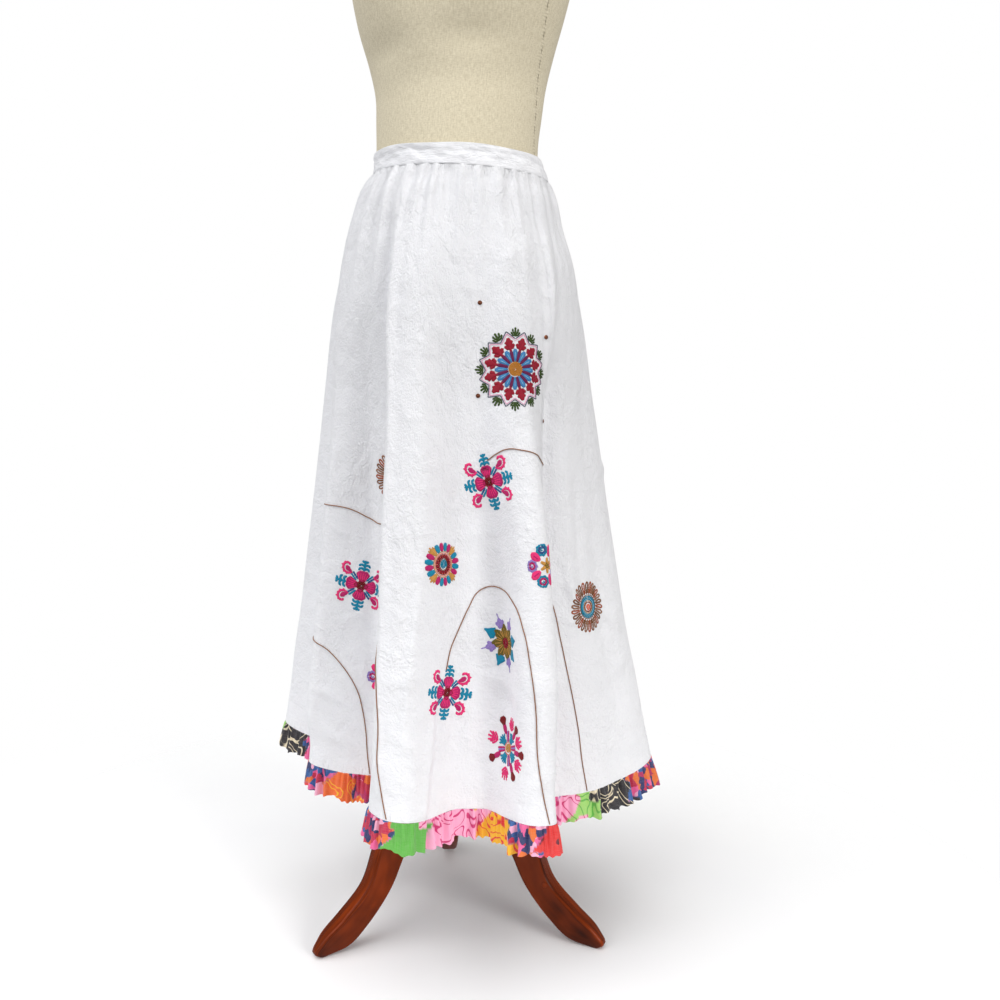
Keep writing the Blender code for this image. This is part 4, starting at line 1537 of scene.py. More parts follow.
YELLOW, ORANGE = srgb(248, 186, 24), srgb(240, 104, 32)
GREEN, PALE_GREEN = srgb(92, 178, 66), srgb(160, 214, 110)
ROSE, PALE_ROSE = srgb(206, 24, 112), srgb(250, 172, 206)
SCARLET, WINE = srgb(226, 44, 44), srgb(96, 10, 40)
INK, CREAM, SKY = srgb(24, 26, 36), srgb(242, 228, 196), srgb(36, 104, 170)
PRINT_PATCHES = (
    Patch(0.7, PALE_GREEN, GREEN, Figure.SCROLL), Patch(1.5, INK, CREAM, Figure.SCROLL),
    Patch(1.7, SKY, ROSE, Figure.MOSAIC), Patch(1.1, SCARLET, WINE, Figure.SPOTS),
    Patch(1.3, SKY, ROSE, Figure.MOSAIC), Patch(1.0, ORANGE, YELLOW, Figure.SCROLL),
    Patch(1.4, SKY, ROSE, Figure.MOSAIC), Patch(1.0, ROSE, PALE_ROSE, Figure.SPOTS),
    Patch(1.0, YELLOW, ORANGE, Figure.PLAIN), Patch(1.9, SKY, ROSE, Figure.MOSAIC),
    Patch(1.4, GREEN, PALE_GREEN, Figure.PLAIN), Patch(2.3, PALE_ROSE, ROSE, Figure.SCROLL),
    Patch(1.4, YELLOW, SCARLET, Figure.SCROLL), Patch(1.2, SKY, ROSE, Figure.MOSAIC),
    Patch(1.6, SCARLET, WINE, Figure.SPOTS), Patch(0.8, ORANGE, YELLOW, Figure.PLAIN),
    Patch(1.0, SKY, ROSE, Figure.MOSAIC), Patch(0.9, PALE_ROSE, ROSE, Figure.SCROLL),
)


@dataclass
class Frill:
    """The hem frill: a gathered strip of printed cotton that goes on down from the hem."""

    cloth: SkirtCloth
    depth: float = 0.037
    waves: int = 92
    tucks: int = 221
    swing_levels: tuple = (0.0, 0.4, 1.0)
    swings: tuple = (0.0012, 0.0034, 0.0056)
    tuck_swings: tuple = (0.0004, 0.0017)
    unevenness: tuple = (0.04, 0.025)
    flare: float = 0.08
    lean_over: float = 0.03
    columns: int = 1800
    rows: int = 12
    thickness: float = 0.0006
    repeats: int = 2
    edge_lean: float = 0.012

    def surface_points(self) -> np.ndarray:
        """The strip's surface: down from the hem, waved ever more, with finer tucks at the seam.

        The waves open by a smooth curve through their swings. The tucks swing most a little
        under the seam, as the sine of half a turn down the strip. Both vary round by three sines.

        Returns:
            Rows by columns by x, y and z, whose last column repeats the first.
        """
        cloth = self.cloth
        share = np.linspace(0.0, 1.0, self.columns + 1)
        hem_row = np.full_like(share, cloth.drop[-1])
        hem = cloth.lay(share, hem_row, np.zeros_like(share))
        over = cloth.lay(share, hem_row - self.lean_over, np.zeros_like(share))
        out = cloth.lay(share, hem_row, np.ones_like(share)) - hem
        down = hem - over
        down /= np.linalg.norm(down, axis=1, keepdims=True)
        level = np.linspace(0.0, 1.0, self.rows)
        rough = (np.sin(2 * np.pi * 13 * share + 1.0) + np.sin(2 * np.pi * 31 * share + 2.0)
                 + np.sin(2 * np.pi * 47 * share + 0.3))
        wave = wave_round(share, self.waves, 0.3, (9, 23)) * (0.72 + 0.2 * rough)
        tuck = wave_round(share, self.tucks, 0.5, (5, 19)) * (0.8 + 0.2 * rough)
        swing = smooth_between(np.array(self.swings), self.swing_levels, level)
        least, more = self.tuck_swings
        tuck_swing = least + more * np.sin(np.pi * np.clip(level, 0.0, 1.0) ** 0.45) ** 0.8
        by_wave, by_tuck = self.unevenness
        depth = self.depth * (1 + (by_wave * rough + by_tuck * tuck) * level[:, None])
        fall = SEAM_GAP + (depth - SEAM_GAP) * level[:, None]
        side = swing[:, None] * wave + tuck_swing[:, None] * tuck + self.flare * fall
        return hem + down * fall[..., None] + out * side[..., None]

    def patch_at(self, share: np.ndarray, level: np.ndarray) -> np.ndarray:
        """Number of the print's patch at each point; the patches' edges lean and bend.

        Args:
            share: Shares of the way round, on one row.
            level: Shares of the way down, on one column.

        Returns:
            Rows by columns of patch numbers.
        """
        widths = np.array([patch.width for patch in PRINT_PATCHES])
        edges = np.cumsum(widths) / widths.sum()
        turn = 2 * np.pi * share
        bend = (level - 0.5) * self.edge_lean * np.sin(23 * turn)
        bend = bend + 0.3 * self.edge_lean * np.sin(7.0 * level + 41 * turn)
        place = np.mod((share + bend) * self.repeats, 1.0)
        return np.searchsorted(edges, place, side="right") % len(widths)

    def make(self, material: bpy.types.Material) -> list:
        """Make the frill's front and back lengths.

        Args:
            material: Their finish.

        Returns:
            The front length and the back length.
        """
        points = self.surface_points()
        length = length_along(points[-1])
        half = self.columns // 2
        pieces = []
        for name, first, last in (("frill_front_length", 0, half),
                                  ("frill_back_length", half, 2 * half)):
            part = points[:, first:last + 1]
            rows, columns = part.shape[:2]
            share = np.linspace(first, last, columns)[None, :] / self.columns
            number = self.patch_at(share, np.linspace(0.0, 1.0, rows)[:, None]).ravel()
            ground = np.array([patch.ground for patch in PRINT_PATCHES])[number]
            figure = np.array([patch.figure for patch in PRINT_PATCHES])[number]
            kind = np.array([patch.kind.value for patch in PRINT_PATCHES])[number]
            around = np.broadcast_to(length[first:last + 1], (rows, columns))
            down = np.broadcast_to(np.linspace(0.0, self.depth, rows)[:, None], (rows, columns))
            surface = Surface(name, part.reshape(-1, 3), grid_quads(rows, columns),
                              uv=np.stack([around.ravel(), down.ravel()], axis=1),
                              colours={"ground": ground, "figure": figure},
                              values={one.name.lower(): (kind == one.value).astype(float)
                                      for one in Figure if one is not Figure.PLAIN})
            piece = surface.build(material)
            give_thickness(piece, self.thickness)
            pieces.append(piece)
        return pieces


@dataclass
class Stroke:
    """A row of stitches: its path in a drawing, its thread, its width in metres and its layer.

    A filled shape has its half widths instead, in the drawing's units, at even steps along it.
    """

    path: np.ndarray
    thread: Thread
    width: float = 0.0019
    halves: tuple = ()
    layer: int = 0


def turned(path: np.ndarray, degrees: float) -> np.ndarray:
    """A drawing's points turned clockwise about its middle.

    Args:
        path: Points, right and up, on the last axis.
        degrees: How far they are turned.

    Returns:
        The turned points.
    """
    turn = math.radians(degrees)
    right = path[..., 0] * math.cos(turn) + path[..., 1] * math.sin(turn)
    up = path[..., 1] * math.cos(turn) - path[..., 0] * math.sin(turn)
    return np.stack([right, up], axis=-1)


def row(thread: Thread, *points: tuple, width: float = 0.0019, layer: int = 0) -> Stroke:
    """A row of stitches on a smooth curve through a few points."""
    if len(points) == 2:
        share = np.linspace(0.0, 1.0, 8)[:, None]
        return Stroke(np.array(points[0]) * (1 - share) + np.array(points[1]) * share,
                      thread, width, (), layer)
    return Stroke(curve_through(np.array(points, dtype=float), 24), thread, width, (), layer)


def both(thread: Thread, *points: tuple, width: float = 0.0019) -> list:
    """A row of stitches and its mirror image across the up axis."""
    return [row(thread, *[(side * x, y) for x, y in points], width=width) for side in (-1, 1)]


def filled(thread: Thread, base: float, tip: float, *halves: float, layer: int = 0) -> Stroke:
    """A filled shape along the up axis, with its half widths from its base to its tip."""
    return Stroke(np.array([[0.0, base], [0.0, (base + tip) / 2], [0.0, tip]]), thread, 0.0,
                  halves, layer)


def round_row(radius: float, lobes: int = 0, depth: float = 0.0) -> np.ndarray:
    """A closed round row, which may be scalloped: radius times one plus depth cos(lobes t)."""
    turn = np.linspace(0.0, 2 * np.pi, 96)
    reach = radius * (1 + depth * np.cos(lobes * turn))
    return np.stack([reach * np.sin(turn), reach * np.cos(turn)], axis=1)


def spiral(radius: float, spacing: float) -> np.ndarray:
    """A spiral row that fills a disc, its turns a spacing apart."""
    turns = max(radius / spacing, 1.0)
    share = np.linspace(0.02, 1.0, int(40 * turns))
    turn = 2 * np.pi * turns * share
    return np.stack([radius * share * np.sin(turn), radius * share * np.cos(turn)], axis=1)


def star(points: int, outer: float, inner: float) -> np.ndarray:
    """A closed zigzag row: straight lines between outer and inner corners, by turns.

    Args:
        points: Number of its outer corners.
        outer: Their distance from the middle.
        inner: Distance of the inner corners, the first of which points up.

    Returns:
        The row's points.
    """
    corner = np.arange(2 * points + 1)
    turn = np.pi * corner / points
    reach = np.where(corner % 2 == 0, inner, outer)
    corners = np.stack([reach * np.sin(turn), reach * np.cos(turn)], axis=1)
    return even_along(corners, 0.02)


def ring_of(count: int, phase: float, rows: list) -> list:
    """Repeat some rows round a motif.

    Args:
        count: How many times.
        phase: Turn of the first, in degrees.
        rows: The rows, whose thread may be a cycle of threads.

    Returns:
        All the rows.
    """
    made = []
    for number in range(count):
        for one in rows:
            cycle = one.thread if isinstance(one.thread, tuple) else (one.thread,)
            made.append(replace(one, path=turned(one.path, phase + number * 360.0 / count),
                                thread=cycle[number % len(cycle)]))
    return made


def medallion() -> list:
    """A wheel of blue petals in a ring of tulips and a zigzag edge with leaf sprigs."""
    made = [Stroke(spiral(0.185, 0.034), Thread.GOLD_BROWN, 0.0021)]
    made += ring_of(12, 0.0, [filled(Thread.BLUE, 0.19, 0.51, 0.016, 0.038, 0.058, 0.066, 0.034),
                              row(Thread.PALE_BLUE, (0, 0.27), (0, 0.44), width=0.0009, layer=1)])
    made += ring_of(12, 15.0, [filled(Thread.PLUM, 0.19, 0.47, 0.024, 0.044, 0.050, 0.036)])
    tulip = [filled(Thread.CRIMSON, 0.44, 0.62, 0.028, 0.040, 0.054),
             filled(Thread.CRIMSON, 0.55, 0.80, 0.048, 0.076, 0.074, 0.034)]
    tulip += both(Thread.CRIMSON, (0, 0.54), (0.07, 0.55), (0.118, 0.63), width=0.0050)
    tulip += both(Thread.CRIMSON, (0, 0.60), (0.060, 0.66), (0.092, 0.72), width=0.0040)
    made += ring_of(12, 15.0, tulip)
    made += [Stroke(star(12, 0.905, 0.715), Thread.PALE_PINK, 0.0012),
             Stroke(star(12, 0.965, 0.755), Thread.GREY, 0.0015)]
    sprig = [row(Thread.LEAF_GREEN, (0, 0.81), (0, 1.05), width=0.0032)]
    sprig += both(Thread.LEAF_GREEN, (0, 0.86), (0.060, 0.92), (0.080, 1.01), width=0.0028)
    sprig += both(Thread.LEAF_GREEN, (0, 0.83), (0.070, 0.85), (0.125, 0.93), width=0.0028)
    return made + ring_of(12, 0.0, sprig)


def paisley_flower() -> list:
    """A four-petalled flower with leaf sprigs on its petals and paisleys between them."""
    made = [Stroke(spiral(0.16, 0.05), Thread.DARK_RED, 0.0021, layer=1),
            Stroke(round_row(0.20, 4, 0.22), Thread.CRIMSON, 0.0018, layer=1)]
    fan = [filled(Thread.MAGENTA, 0.12, 0.56, 0.08, 0.15, 0.22, 0.25, 0.14)]
    fan += [row(Thread.PINK, (0.055 * k, 0.20), (0.092 * k, 0.50 - 0.014 * k * k), width=0.0019,
                layer=1) for k in (-2, -1, 0, 1, 2)]
    made += ring_of(4, 0.0, fan)
    made += ring_of(4, 45.0, [row(Thread.DEEP_BLUE, (0.040, 0.26), (0.050, 0.60), width=0.0030),
                              row(Thread.TEAL, (-0.040, 0.26), (-0.050, 0.60), width=0.0030)])
    sprig = [row(Thread.TEAL, (0, 0.55), (0, 0.98), width=0.0040)]
    for low, tip, reach in ((0.61, 0.56, 0.21), (0.75, 0.72, 0.22), (0.87, 0.94, 0.13)):
        sprig += both(Thread.TEAL, (0, low), (reach * 0.6, low + 0.05), (reach, tip), width=0.0038)
    made += ring_of(4, 0.0, sprig)
    for side, phases in ((1, (45.0, 225.0)), (-1, (135.0, 315.0))):
        curl = [(-0.02, 0.58), (0.13, 0.63), (0.21, 0.76), (0.17, 0.92), (0.03, 1.0),
                (-0.10, 0.94), (-0.09, 0.84)]
        heart = np.array([(side * x, y) for x, y in ((0.0, 0.62), (0.05, 0.74), (0.04, 0.90))])
        drawn = [row(Thread.PINK, *[(side * x, y) for x, y in curl], width=0.0040),
                 Stroke(heart, Thread.MAGENTA, 0.0, (0.03, 0.07, 0.09, 0.04))]
        for x, y, out, up in ((0.17, 0.66, 0.07, -0.03), (0.21, 0.77, 0.08, 0.0),
                              (0.18, 0.88, 0.07, 0.03), (0.11, 0.97, 0.05, 0.07),
                              (0.0, 0.99, 0.0, 0.08)):
            drawn.append(row(Thread.PINK, (side * x, y), (side * (x + out), y + up),
                             width=0.0034))
        for phase in phases:
            made += ring_of(1, phase, drawn)
    return made


def daisy() -> list:
    """A seeded eye in peach rings, with petals of three colours by turns."""
    made = [Stroke(spiral(0.22, 0.066), Thread.TEAL), Stroke(round_row(0.26), Thread.BROWN, 0.0012)]
    made += [Stroke(round_row(reach), Thread.DARK_RED, 0.0021) for reach in (0.32, 0.39, 0.45)]
    made += ring_of(14, 0.0, [filled(Thread.CRIMSON, 0.29, 0.46, 0.02, 0.045, 0.02, layer=1)])
    made += ring_of(14, 12.9, [filled(Thread.PEACH, 0.40, 0.47, 0.015, 0.02, 0.015, layer=1)])
    made += [Stroke(round_row(0.52), Thread.PEACH, 0.0014),
             Stroke(round_row(0.585), Thread.OCHRE, 0.0013)]
    cycle = (Thread.OCHRE, Thread.TEAL, Thread.MAGENTA, Thread.TEAL, Thread.MAGENTA)
    made += ring_of(20, 42.0, [filled(cycle, 0.61, 1.0, 0.07, 0.11, 0.13, 0.12, 0.07)])
    points = [row(Thread.OCHRE, (0.0, 0.7), (0.0, 1.10), width=0.0026, layer=1)]
    points += both(Thread.OCHRE, (0.02, 0.7), (0.13, 0.9), (0.12, 1.03), width=0.0024)
    return made + ring_of(4, 42.0, points)


def loop_wheel() -> list:
    """A wheel of narrow bent loops in browns round a teal ring and a small eye."""
    made = [Stroke(spiral(0.13, 0.05), Thread.PEACH), Stroke(round_row(0.19), Thread.DARK_RED),
            Stroke(round_row(0.245), Thread.OCHRE, 0.0012)]
    made += [Stroke(round_row(reach), Thread.TEAL, 0.0022) for reach in (0.30, 0.36, 0.42)]
    made += [Stroke(round_row(0.33, 12, 0.03), Thread.PALE_BLUE, 0.0009, layer=1),
             Stroke(round_row(0.475), Thread.BROWN, 0.0013)]
    cycle = (Thread.BROWN, Thread.COPPER, Thread.TAN)
    loop = [row(cycle, (-0.01, 0.50), (-0.03, 0.74), (-0.01, 0.93), (0.06, 1.0), (0.10, 0.93),
                (0.07, 0.80), (0.035, 0.54), width=0.0027)]
    return made + ring_of(26, 0.0, loop)


def leaf_star() -> list:
    """A red eye in olive leaves, with teal arrows and lilac hearts outside by turns."""
    made = [Stroke(spiral(0.20, 0.055), Thread.CRIMSON, 0.0020, layer=1)]
    made += ring_of(8, 0.0, [filled(Thread.OLIVE, 0.16, 0.70, 0.07, 0.15, 0.18, 0.13, 0.04),
                             row(Thread.OCHRE, (0, 0.22), (0, 0.56), width=0.0014, layer=1)])
    made += ring_of(8, 22.5, [row(Thread.OCHRE, (0.02, 0.20), (0.05, 0.50), width=0.0017, layer=1),
                              row(Thread.OCHRE, (-0.02, 0.20), (-0.05, 0.50), width=0.0017,
                                  layer=1)])
    arrow = [filled(Thread.TEAL, 0.56, 1.03, 0.16, 0.22, 0.17, 0.08, 0.03)]
    arrow += both(Thread.TEAL, (0.0, 0.64), (0.14, 0.70), (0.24, 0.66), width=0.0034)
    heart = [filled(Thread.LILAC, 0.56, 0.94, 0.12, 0.17, 0.13, 0.05),
             row(Thread.LILAC, (0.0, 0.88), (0.0, 1.14), width=0.0018)]
    heart += both(Thread.LILAC, (0.0, 0.64), (0.12, 0.72), (0.17, 0.84), width=0.0050)
    for turn in (-14.0, 36.0, 176.0, 262.0):
        made += ring_of(1, turn, heart)
    for turn in (86.0, 132.0, 216.0, 304.0):
        made += ring_of(1, turn, arrow)
    return made


def finger_flower() -> list:
    """An ochre eye, teal and plum petals, and outside them pink sprays and crimson drops."""
    made = [Stroke(spiral(0.15, 0.045), Thread.OCHRE), Stroke(round_row(0.19), Thread.PEACH, 0.0013)]
    made += ring_of(4, 20.0, [row(Thread.TEAL, (0.03 * k, 0.2), (0.045 * k, 0.36),
                                  (0.095 * k, 0.55 - 0.02 * k * k), width=0.0033)
                              for k in (-2, -1, 0, 1, 2)])
    made += ring_of(4, 65.0, [row(thread, (0.035 * k, 0.2), (0.065 * k, 0.54), width=0.0034)
                              for k, thread in ((-1, Thread.MAGENTA), (0, Thread.LILAC),
                                                (1, Thread.MAGENTA))])
    hand = [row(Thread.PINK, (0, 0.56), (0, 1.0), width=0.0034)]
    for k in (0, 1, 2):
        hand += both(Thread.PINK, (0, 0.60 + 0.08 * k), (0.10, 0.66 + 0.1 * k),
                     (0.20 - 0.03 * k, 0.77 + 0.1 * k), width=0.0032)
    drop = [filled(Thread.DARK_RED, 0.72, 1.02, 0.05, 0.10, 0.14, 0.07),
            filled(Thread.MAGENTA, 0.46, 0.76, 0.05, 0.09, 0.07)]
    for turn in (0.0, 54.0, 108.0, 174.0, 275.0):
        made += ring_of(1, turn, hand)
    for turn in (28.0, 81.0, 140.0, 230.0, 322.0):
        made += ring_of(1, turn, drop)
    return made


def disc_flower() -> list:
    """Five little rosettes round an eye, with pink hearts between them."""
    up = np.array([0.0, 0.72])
    outer = (Thread.LILAC, Thread.TEAL, Thread.OCHRE, Thread.LILAC, Thread.TEAL)
    inner = (Thread.MAGENTA, Thread.DEEP_BLUE, Thread.OLIVE, Thread.MAGENTA, Thread.MAGENTA)
    rosette = [Stroke(round_row(0.225, 8, 0.10) + up, outer, 0.0034),
               Stroke(round_row(0.13, 8, 0.10) + up, inner, 0.0030),
               Stroke(spiral(0.07, 0.06) + up, outer, 0.0020)]
    heart = [filled(Thread.PINK, 0.40, 0.92, 0.06, 0.15, 0.20, 0.17, 0.07),
             row(Thread.MAGENTA, (0, 0.48), (0, 0.80), width=0.0022, layer=1)]
    eye = ring_of(6, 0.0, [filled(Thread.OCHRE, 0.0, 0.34, 0.04, 0.08, 0.05)])
    return (ring_of(5, -90.0, rosette) + ring_of(5, -54.0, heart) + eye
            + [Stroke(spiral(0.12, 0.06), Thread.OLIVE, 0.0018, layer=1)])


class Flower(Enum):
    """The kinds of embroidered motif, by their drawings."""

    MEDALLION = "medallion"
    PAISLEY = "paisley"
    DAISY = "daisy"
    WHEEL = "wheel"
    STAR = "star"
    FINGERS = "fingers"
    DISCS = "discs"

    def strokes(self) -> list:
        """The rows of stitches of a motif of this kind, with a radius of one."""
        drawings = {Flower.MEDALLION: medallion, Flower.PAISLEY: paisley_flower,
                    Flower.DAISY: daisy, Flower.WHEEL: loop_wheel, Flower.STAR: leaf_star,
                    Flower.FINGERS: finger_flower, Flower.DISCS: disc_flower}
        return drawings[self]()


class Sewn(NamedTuple):
    """A motif on the cloth: its kind and its place."""

    flower: Flower
    place: Place


FRONT_FLOWERS = (
    Sewn(Flower.MEDALLION, Place(0.3974, 0.259, 0.049, 0)),
    Sewn(Flower.PAISLEY, Place(0.367, 0.398, 0.037, -14)),
    Sewn(Flower.DAISY, Place(0.3135, 0.504, 0.0275, 0)),
    Sewn(Flower.DISCS, Place(0.4155, 0.500, 0.0285, 0, 0.6)),
    Sewn(Flower.WHEEL, Place(0.5265, 0.570, 0.034, 0)),
    Sewn(Flower.STAR, Place(0.372, 0.602, 0.034, -8, 0.75)),
    Sewn(Flower.PAISLEY, Place(0.3235, 0.667, 0.036, 8)),
    Sewn(Flower.FINGERS, Place(0.376, 0.734, 0.040, 12, 0.8)),
    Sewn(Flower.PAISLEY, Place(0.1591, 0.558, 0.036, 10)),
    Sewn(Flower.WHEEL, Place(0.2085, 0.405, 0.033, 0)),
    Sewn(Flower.DISCS, Place(0.1850, 0.682, 0.029, 0)),
    Sewn(Flower.FINGERS, Place(0.4620, 0.715, 0.036, 40)),
    Sewn(Flower.STAR, Place(0.0800, 0.705, 0.033, 12)),
)
BACK_FLOWERS = (
    Sewn(Flower.MEDALLION, Place(0.8000, 0.270, 0.048, 0)),
    Sewn(Flower.PAISLEY, Place(0.7000, 0.412, 0.036, 12)),
    Sewn(Flower.DAISY, Place(0.6210, 0.505, 0.027, 0)),
    Sewn(Flower.WHEEL, Place(0.9080, 0.582, 0.034, 0)),
    Sewn(Flower.STAR, Place(0.7620, 0.612, 0.034, 15)),
    Sewn(Flower.PAISLEY, Place(0.6640, 0.688, 0.036, -9)),
    Sewn(Flower.FINGERS, Place(0.9240, 0.722, 0.040, -20)),
    Sewn(Flower.DISCS, Place(0.8330, 0.485, 0.029, 5)),
    Sewn(Flower.PAISLEY, Place(0.9480, 0.430, 0.035, 5)),
    Sewn(Flower.DAISY, Place(0.6180, 0.745, 0.027, 10)),
    Sewn(Flower.DISCS, Place(0.7380, 0.742, 0.029, 0)),
    Sewn(Flower.STAR, Place(0.8250, 0.715, 0.033, 30)),
)
# The stems' routes, through pairs of a share round and a length down
FRONT_STEMS = (
    ((0.412, 0.818), (0.409, 0.788), (0.406, 0.737), (0.406, 0.680), (0.4035, 0.620),
     (0.400, 0.581), (0.392, 0.551), (0.3755, 0.537), (0.361, 0.532), (0.352, 0.541),
     (0.345, 0.558), (0.334, 0.592), (0.326, 0.612), (0.321, 0.638)),
    ((0.367, 0.371), (0.375, 0.364), (0.3845, 0.358), (0.393, 0.3565), (0.402, 0.358),
     (0.410, 0.360), (0.4175, 0.364), (0.431, 0.368), (0.450, 0.374), (0.4640, 0.390),
     (0.4690, 0.420), (0.4660, 0.470), (0.4690, 0.520), (0.4830, 0.556), (0.4916, 0.609),
     (0.4964, 0.649), (0.5011, 0.691), (0.5043, 0.732), (0.5056, 0.777), (0.5081, 0.818)),
    ((0.0600, 0.818), (0.0620, 0.680), (0.0660, 0.580), (0.0740, 0.510), (0.0860, 0.472),
     (0.1000, 0.459), (0.1173, 0.455), (0.1329, 0.454), (0.1442, 0.455), (0.1543, 0.4585),
     (0.1642, 0.464), (0.1796, 0.470), (0.1960, 0.466), (0.2060, 0.448)),
    ((0.0830, 0.672), (0.0880, 0.652), (0.0980, 0.640), (0.1090, 0.639),
     (0.1192, 0.645), (0.1321, 0.656), (0.1424, 0.669), (0.1521, 0.6865),
     (0.1584, 0.705), (0.1629, 0.732), (0.1656, 0.760), (0.1670, 0.790), (0.1690, 0.818)),
    ((0.2120, 0.470), (0.2220, 0.520), (0.2320, 0.570), (0.2450, 0.610), (0.2545, 0.640),
     (0.2584, 0.679), (0.2600, 0.704), (0.2618, 0.765), (0.2663, 0.797), (0.2700, 0.818)),
)
BACK_STEMS = (
    ((0.7000, 0.370), (0.7120, 0.352), (0.7300, 0.347), (0.7480, 0.360), (0.7600, 0.400),
     (0.7640, 0.480), (0.7650, 0.570)),
    ((0.6640, 0.725), (0.6600, 0.760), (0.6560, 0.818)),
    ((0.9070, 0.617), (0.9000, 0.650), (0.8930, 0.690), (0.8890, 0.740), (0.8880, 0.818)),
    ((0.9480, 0.468), (0.9560, 0.520), (0.9640, 0.600), (0.9680, 0.700), (0.9660, 0.818)),
    ((0.6210, 0.535), (0.6120, 0.580), (0.6040, 0.660), (0.6010, 0.740), (0.6030, 0.818)),
    ((0.7620, 0.648), (0.7700, 0.700), (0.7760, 0.760), (0.7770, 0.818)),
)
# The sequins' places, four in front and four behind
SEQUINS = ((0.3544, 0.177), (0.3546, 0.291), (0.4454, 0.213), (0.4528, 0.318),
           (0.7560, 0.190), (0.7540, 0.330), (0.8480, 0.205), (0.8500, 0.335))


def join_strands(name: str, strands: list, material: bpy.types.Material) -> bpy.types.Object:
    """Make one mesh of many strands, each a closed skin with an end face at either end.

    Args:
        name: The joined mesh's name.
        strands: For each strand its points (along, round, xyz), their map and its thread.
        material: Their finish.

    Returns:
        The joined mesh.
    """
    quads, caps, colours, start = [], [], [], 0
    for points, _, thread in strands:
        count, sides = points.shape[:2]
        index = start + np.arange(count * sides).reshape(count, sides)
        quads.append(start + grid_quads(count, sides, wrap=True))
        caps += [index[0], index[-1, ::-1]]
        colours.append(np.tile(thread.linear, (count * sides, 1)))
        start += count * sides
    surface = Surface(name, np.concatenate([points.reshape(-1, 3) for points, _, _ in strands]),
                      np.concatenate(quads), caps=caps,
                      uv=np.concatenate([map_.reshape(-1, 2) for _, map_, _ in strands]),
                      colours={"thread": np.concatenate(colours)})
    return surface.build(material)


@dataclass
class Embroidery:
    """Rows of raised stitches on the cloth, joined into one mesh a panel."""

    cloth: SkirtCloth
    name: str
    sewn: tuple
    step: float = 0.0012
    stitch: float = 0.0033
    pinch: float = 0.14
    rise: float = 0.0008
    base: float = 0.0004
    layer_rise: float = 0.0004
    row_rim: tuple = ((-1.0, 0.0), (-0.6, 0.85), (0.6, 0.85), (1.0, 0.0))
    filled_rim: tuple = ((-1.0, 0.0), (-0.86, 0.7), (-0.45, 0.95), (0.0, 1.0), (0.45, 0.95),
                         (0.86, 0.7), (1.0, 0.0))

    def ribbon(self, stroke: Stroke, place: Place) -> tuple:
        """A stroke's rows of points: a low arch across, pinched at each stitch and at the ends.

        Args:
            stroke: The row of stitches.
            place: Where the drawing's middle lies.

        Returns:
            Points (along, across, xyz) and their map in metres.
        """
        path = even_along(turned(stroke.path, place.turn) * place.radius, self.step)
        along = np.linspace(0.0, 1.0, len(path))
        forward = np.gradient(path, axis=0)
        forward /= np.linalg.norm(forward, axis=1, keepdims=True) + 1e-12
        side = np.stack([-forward[:, 1], forward[:, 0]], axis=1)
        length = along * np.linalg.norm(np.diff(path, axis=0), axis=1).sum()
        ends = np.clip(np.minimum(length, length[-1] - length) / self.step + 0.25, 0.0, 1.0)
        if stroke.halves:
            halves = np.array(stroke.halves) * place.radius
            half = smooth_between(halves, np.linspace(0.0, 1.0, len(halves)), along)
            half = np.maximum(half, self.step / 6)
            arch, rim = 0.5 + 0.5 * ends, np.array(self.filled_rim)
        else:
            beat = np.cos(2 * np.pi * length / self.stitch)
            arch = (1 - self.pinch + self.pinch * beat) * ends
            half, rim = stroke.width / 2 * arch, np.array(self.row_rim)
        flat = path[:, None] + side[:, None] * (half[:, None] * rim[:, 0])[..., None]
        lift = self.base + self.rise * rim[:, 1] * arch[:, None] + self.layer_rise * stroke.layer
        share, down = self.cloth.spread(flat, place)
        uv = np.stack(np.broadcast_arrays(length[:, None], rim[:, 0] * half[:, None]), axis=-1)
        return self.cloth.lay(share, down, lift), uv

    def make(self, material: bpy.types.Material) -> bpy.types.Object:
        """Make all the stitches as one mesh.

        Args:
            material: Their finish.

        Returns:
            The joined stitches.
        """
        strands = [(*self.ribbon(stroke, place), stroke.thread)
                   for flower, place in self.sewn for stroke in flower.strokes()]
        return join_strands(self.name, strands, material)


@dataclass
class Stems:
    """The motifs' stems: thin twisted cords couched on the cloth, joined into one mesh."""

    cloth: SkirtCloth
    name: str
    routes: tuple
    radius: float = 0.00072
    lift: float = 0.0003
    curve_points: int = 300
    step: float = 0.0025
    sides: int = 8

    def tube(self, route: tuple) -> tuple:
        """One cord's rings of points, on a smooth curve through its places.

        Args:
            route: Pairs of a share round and a length down.

        Returns:
            Points (along, round, xyz) and their map in metres.
        """
        places = np.array(route)
        scale = self.cloth.around[self.cloth.rows // 2].mean()
        flat = even_along(curve_through(places * (scale, 1.0), self.curve_points), self.step)
        share, down = flat[:, 0] / scale, flat[:, 1]
        middle = self.cloth.lay(share, down, np.full_like(share, self.radius + self.lift))
        up = self.cloth.lay(share, down, np.ones_like(share)) - self.cloth.lay(
            share, down, np.zeros_like(share))
        forward = np.gradient(middle, axis=0)
        side = np.cross(forward, up)
        side /= np.linalg.norm(side, axis=1, keepdims=True)
        turn = np.linspace(0.0, 2 * np.pi, self.sides, endpoint=False)
        ring = (np.cos(turn)[:, None] * side[:, None] + np.sin(turn)[:, None] * up[:, None])
        length = np.arange(len(flat)) * self.step
        uv = np.stack(np.broadcast_arrays(length[:, None], self.radius * turn), axis=-1)
        return middle[:, None] + self.radius * ring, uv

    def make(self, material: bpy.types.Material) -> bpy.types.Object:
        """Make all the cords as one mesh.

        Args:
            material: Their finish.

        Returns:
            The joined cords.
        """
        strands = [(*self.tube(route), Thread.TAN) for route in self.routes]
        return join_strands(self.name, strands, material)


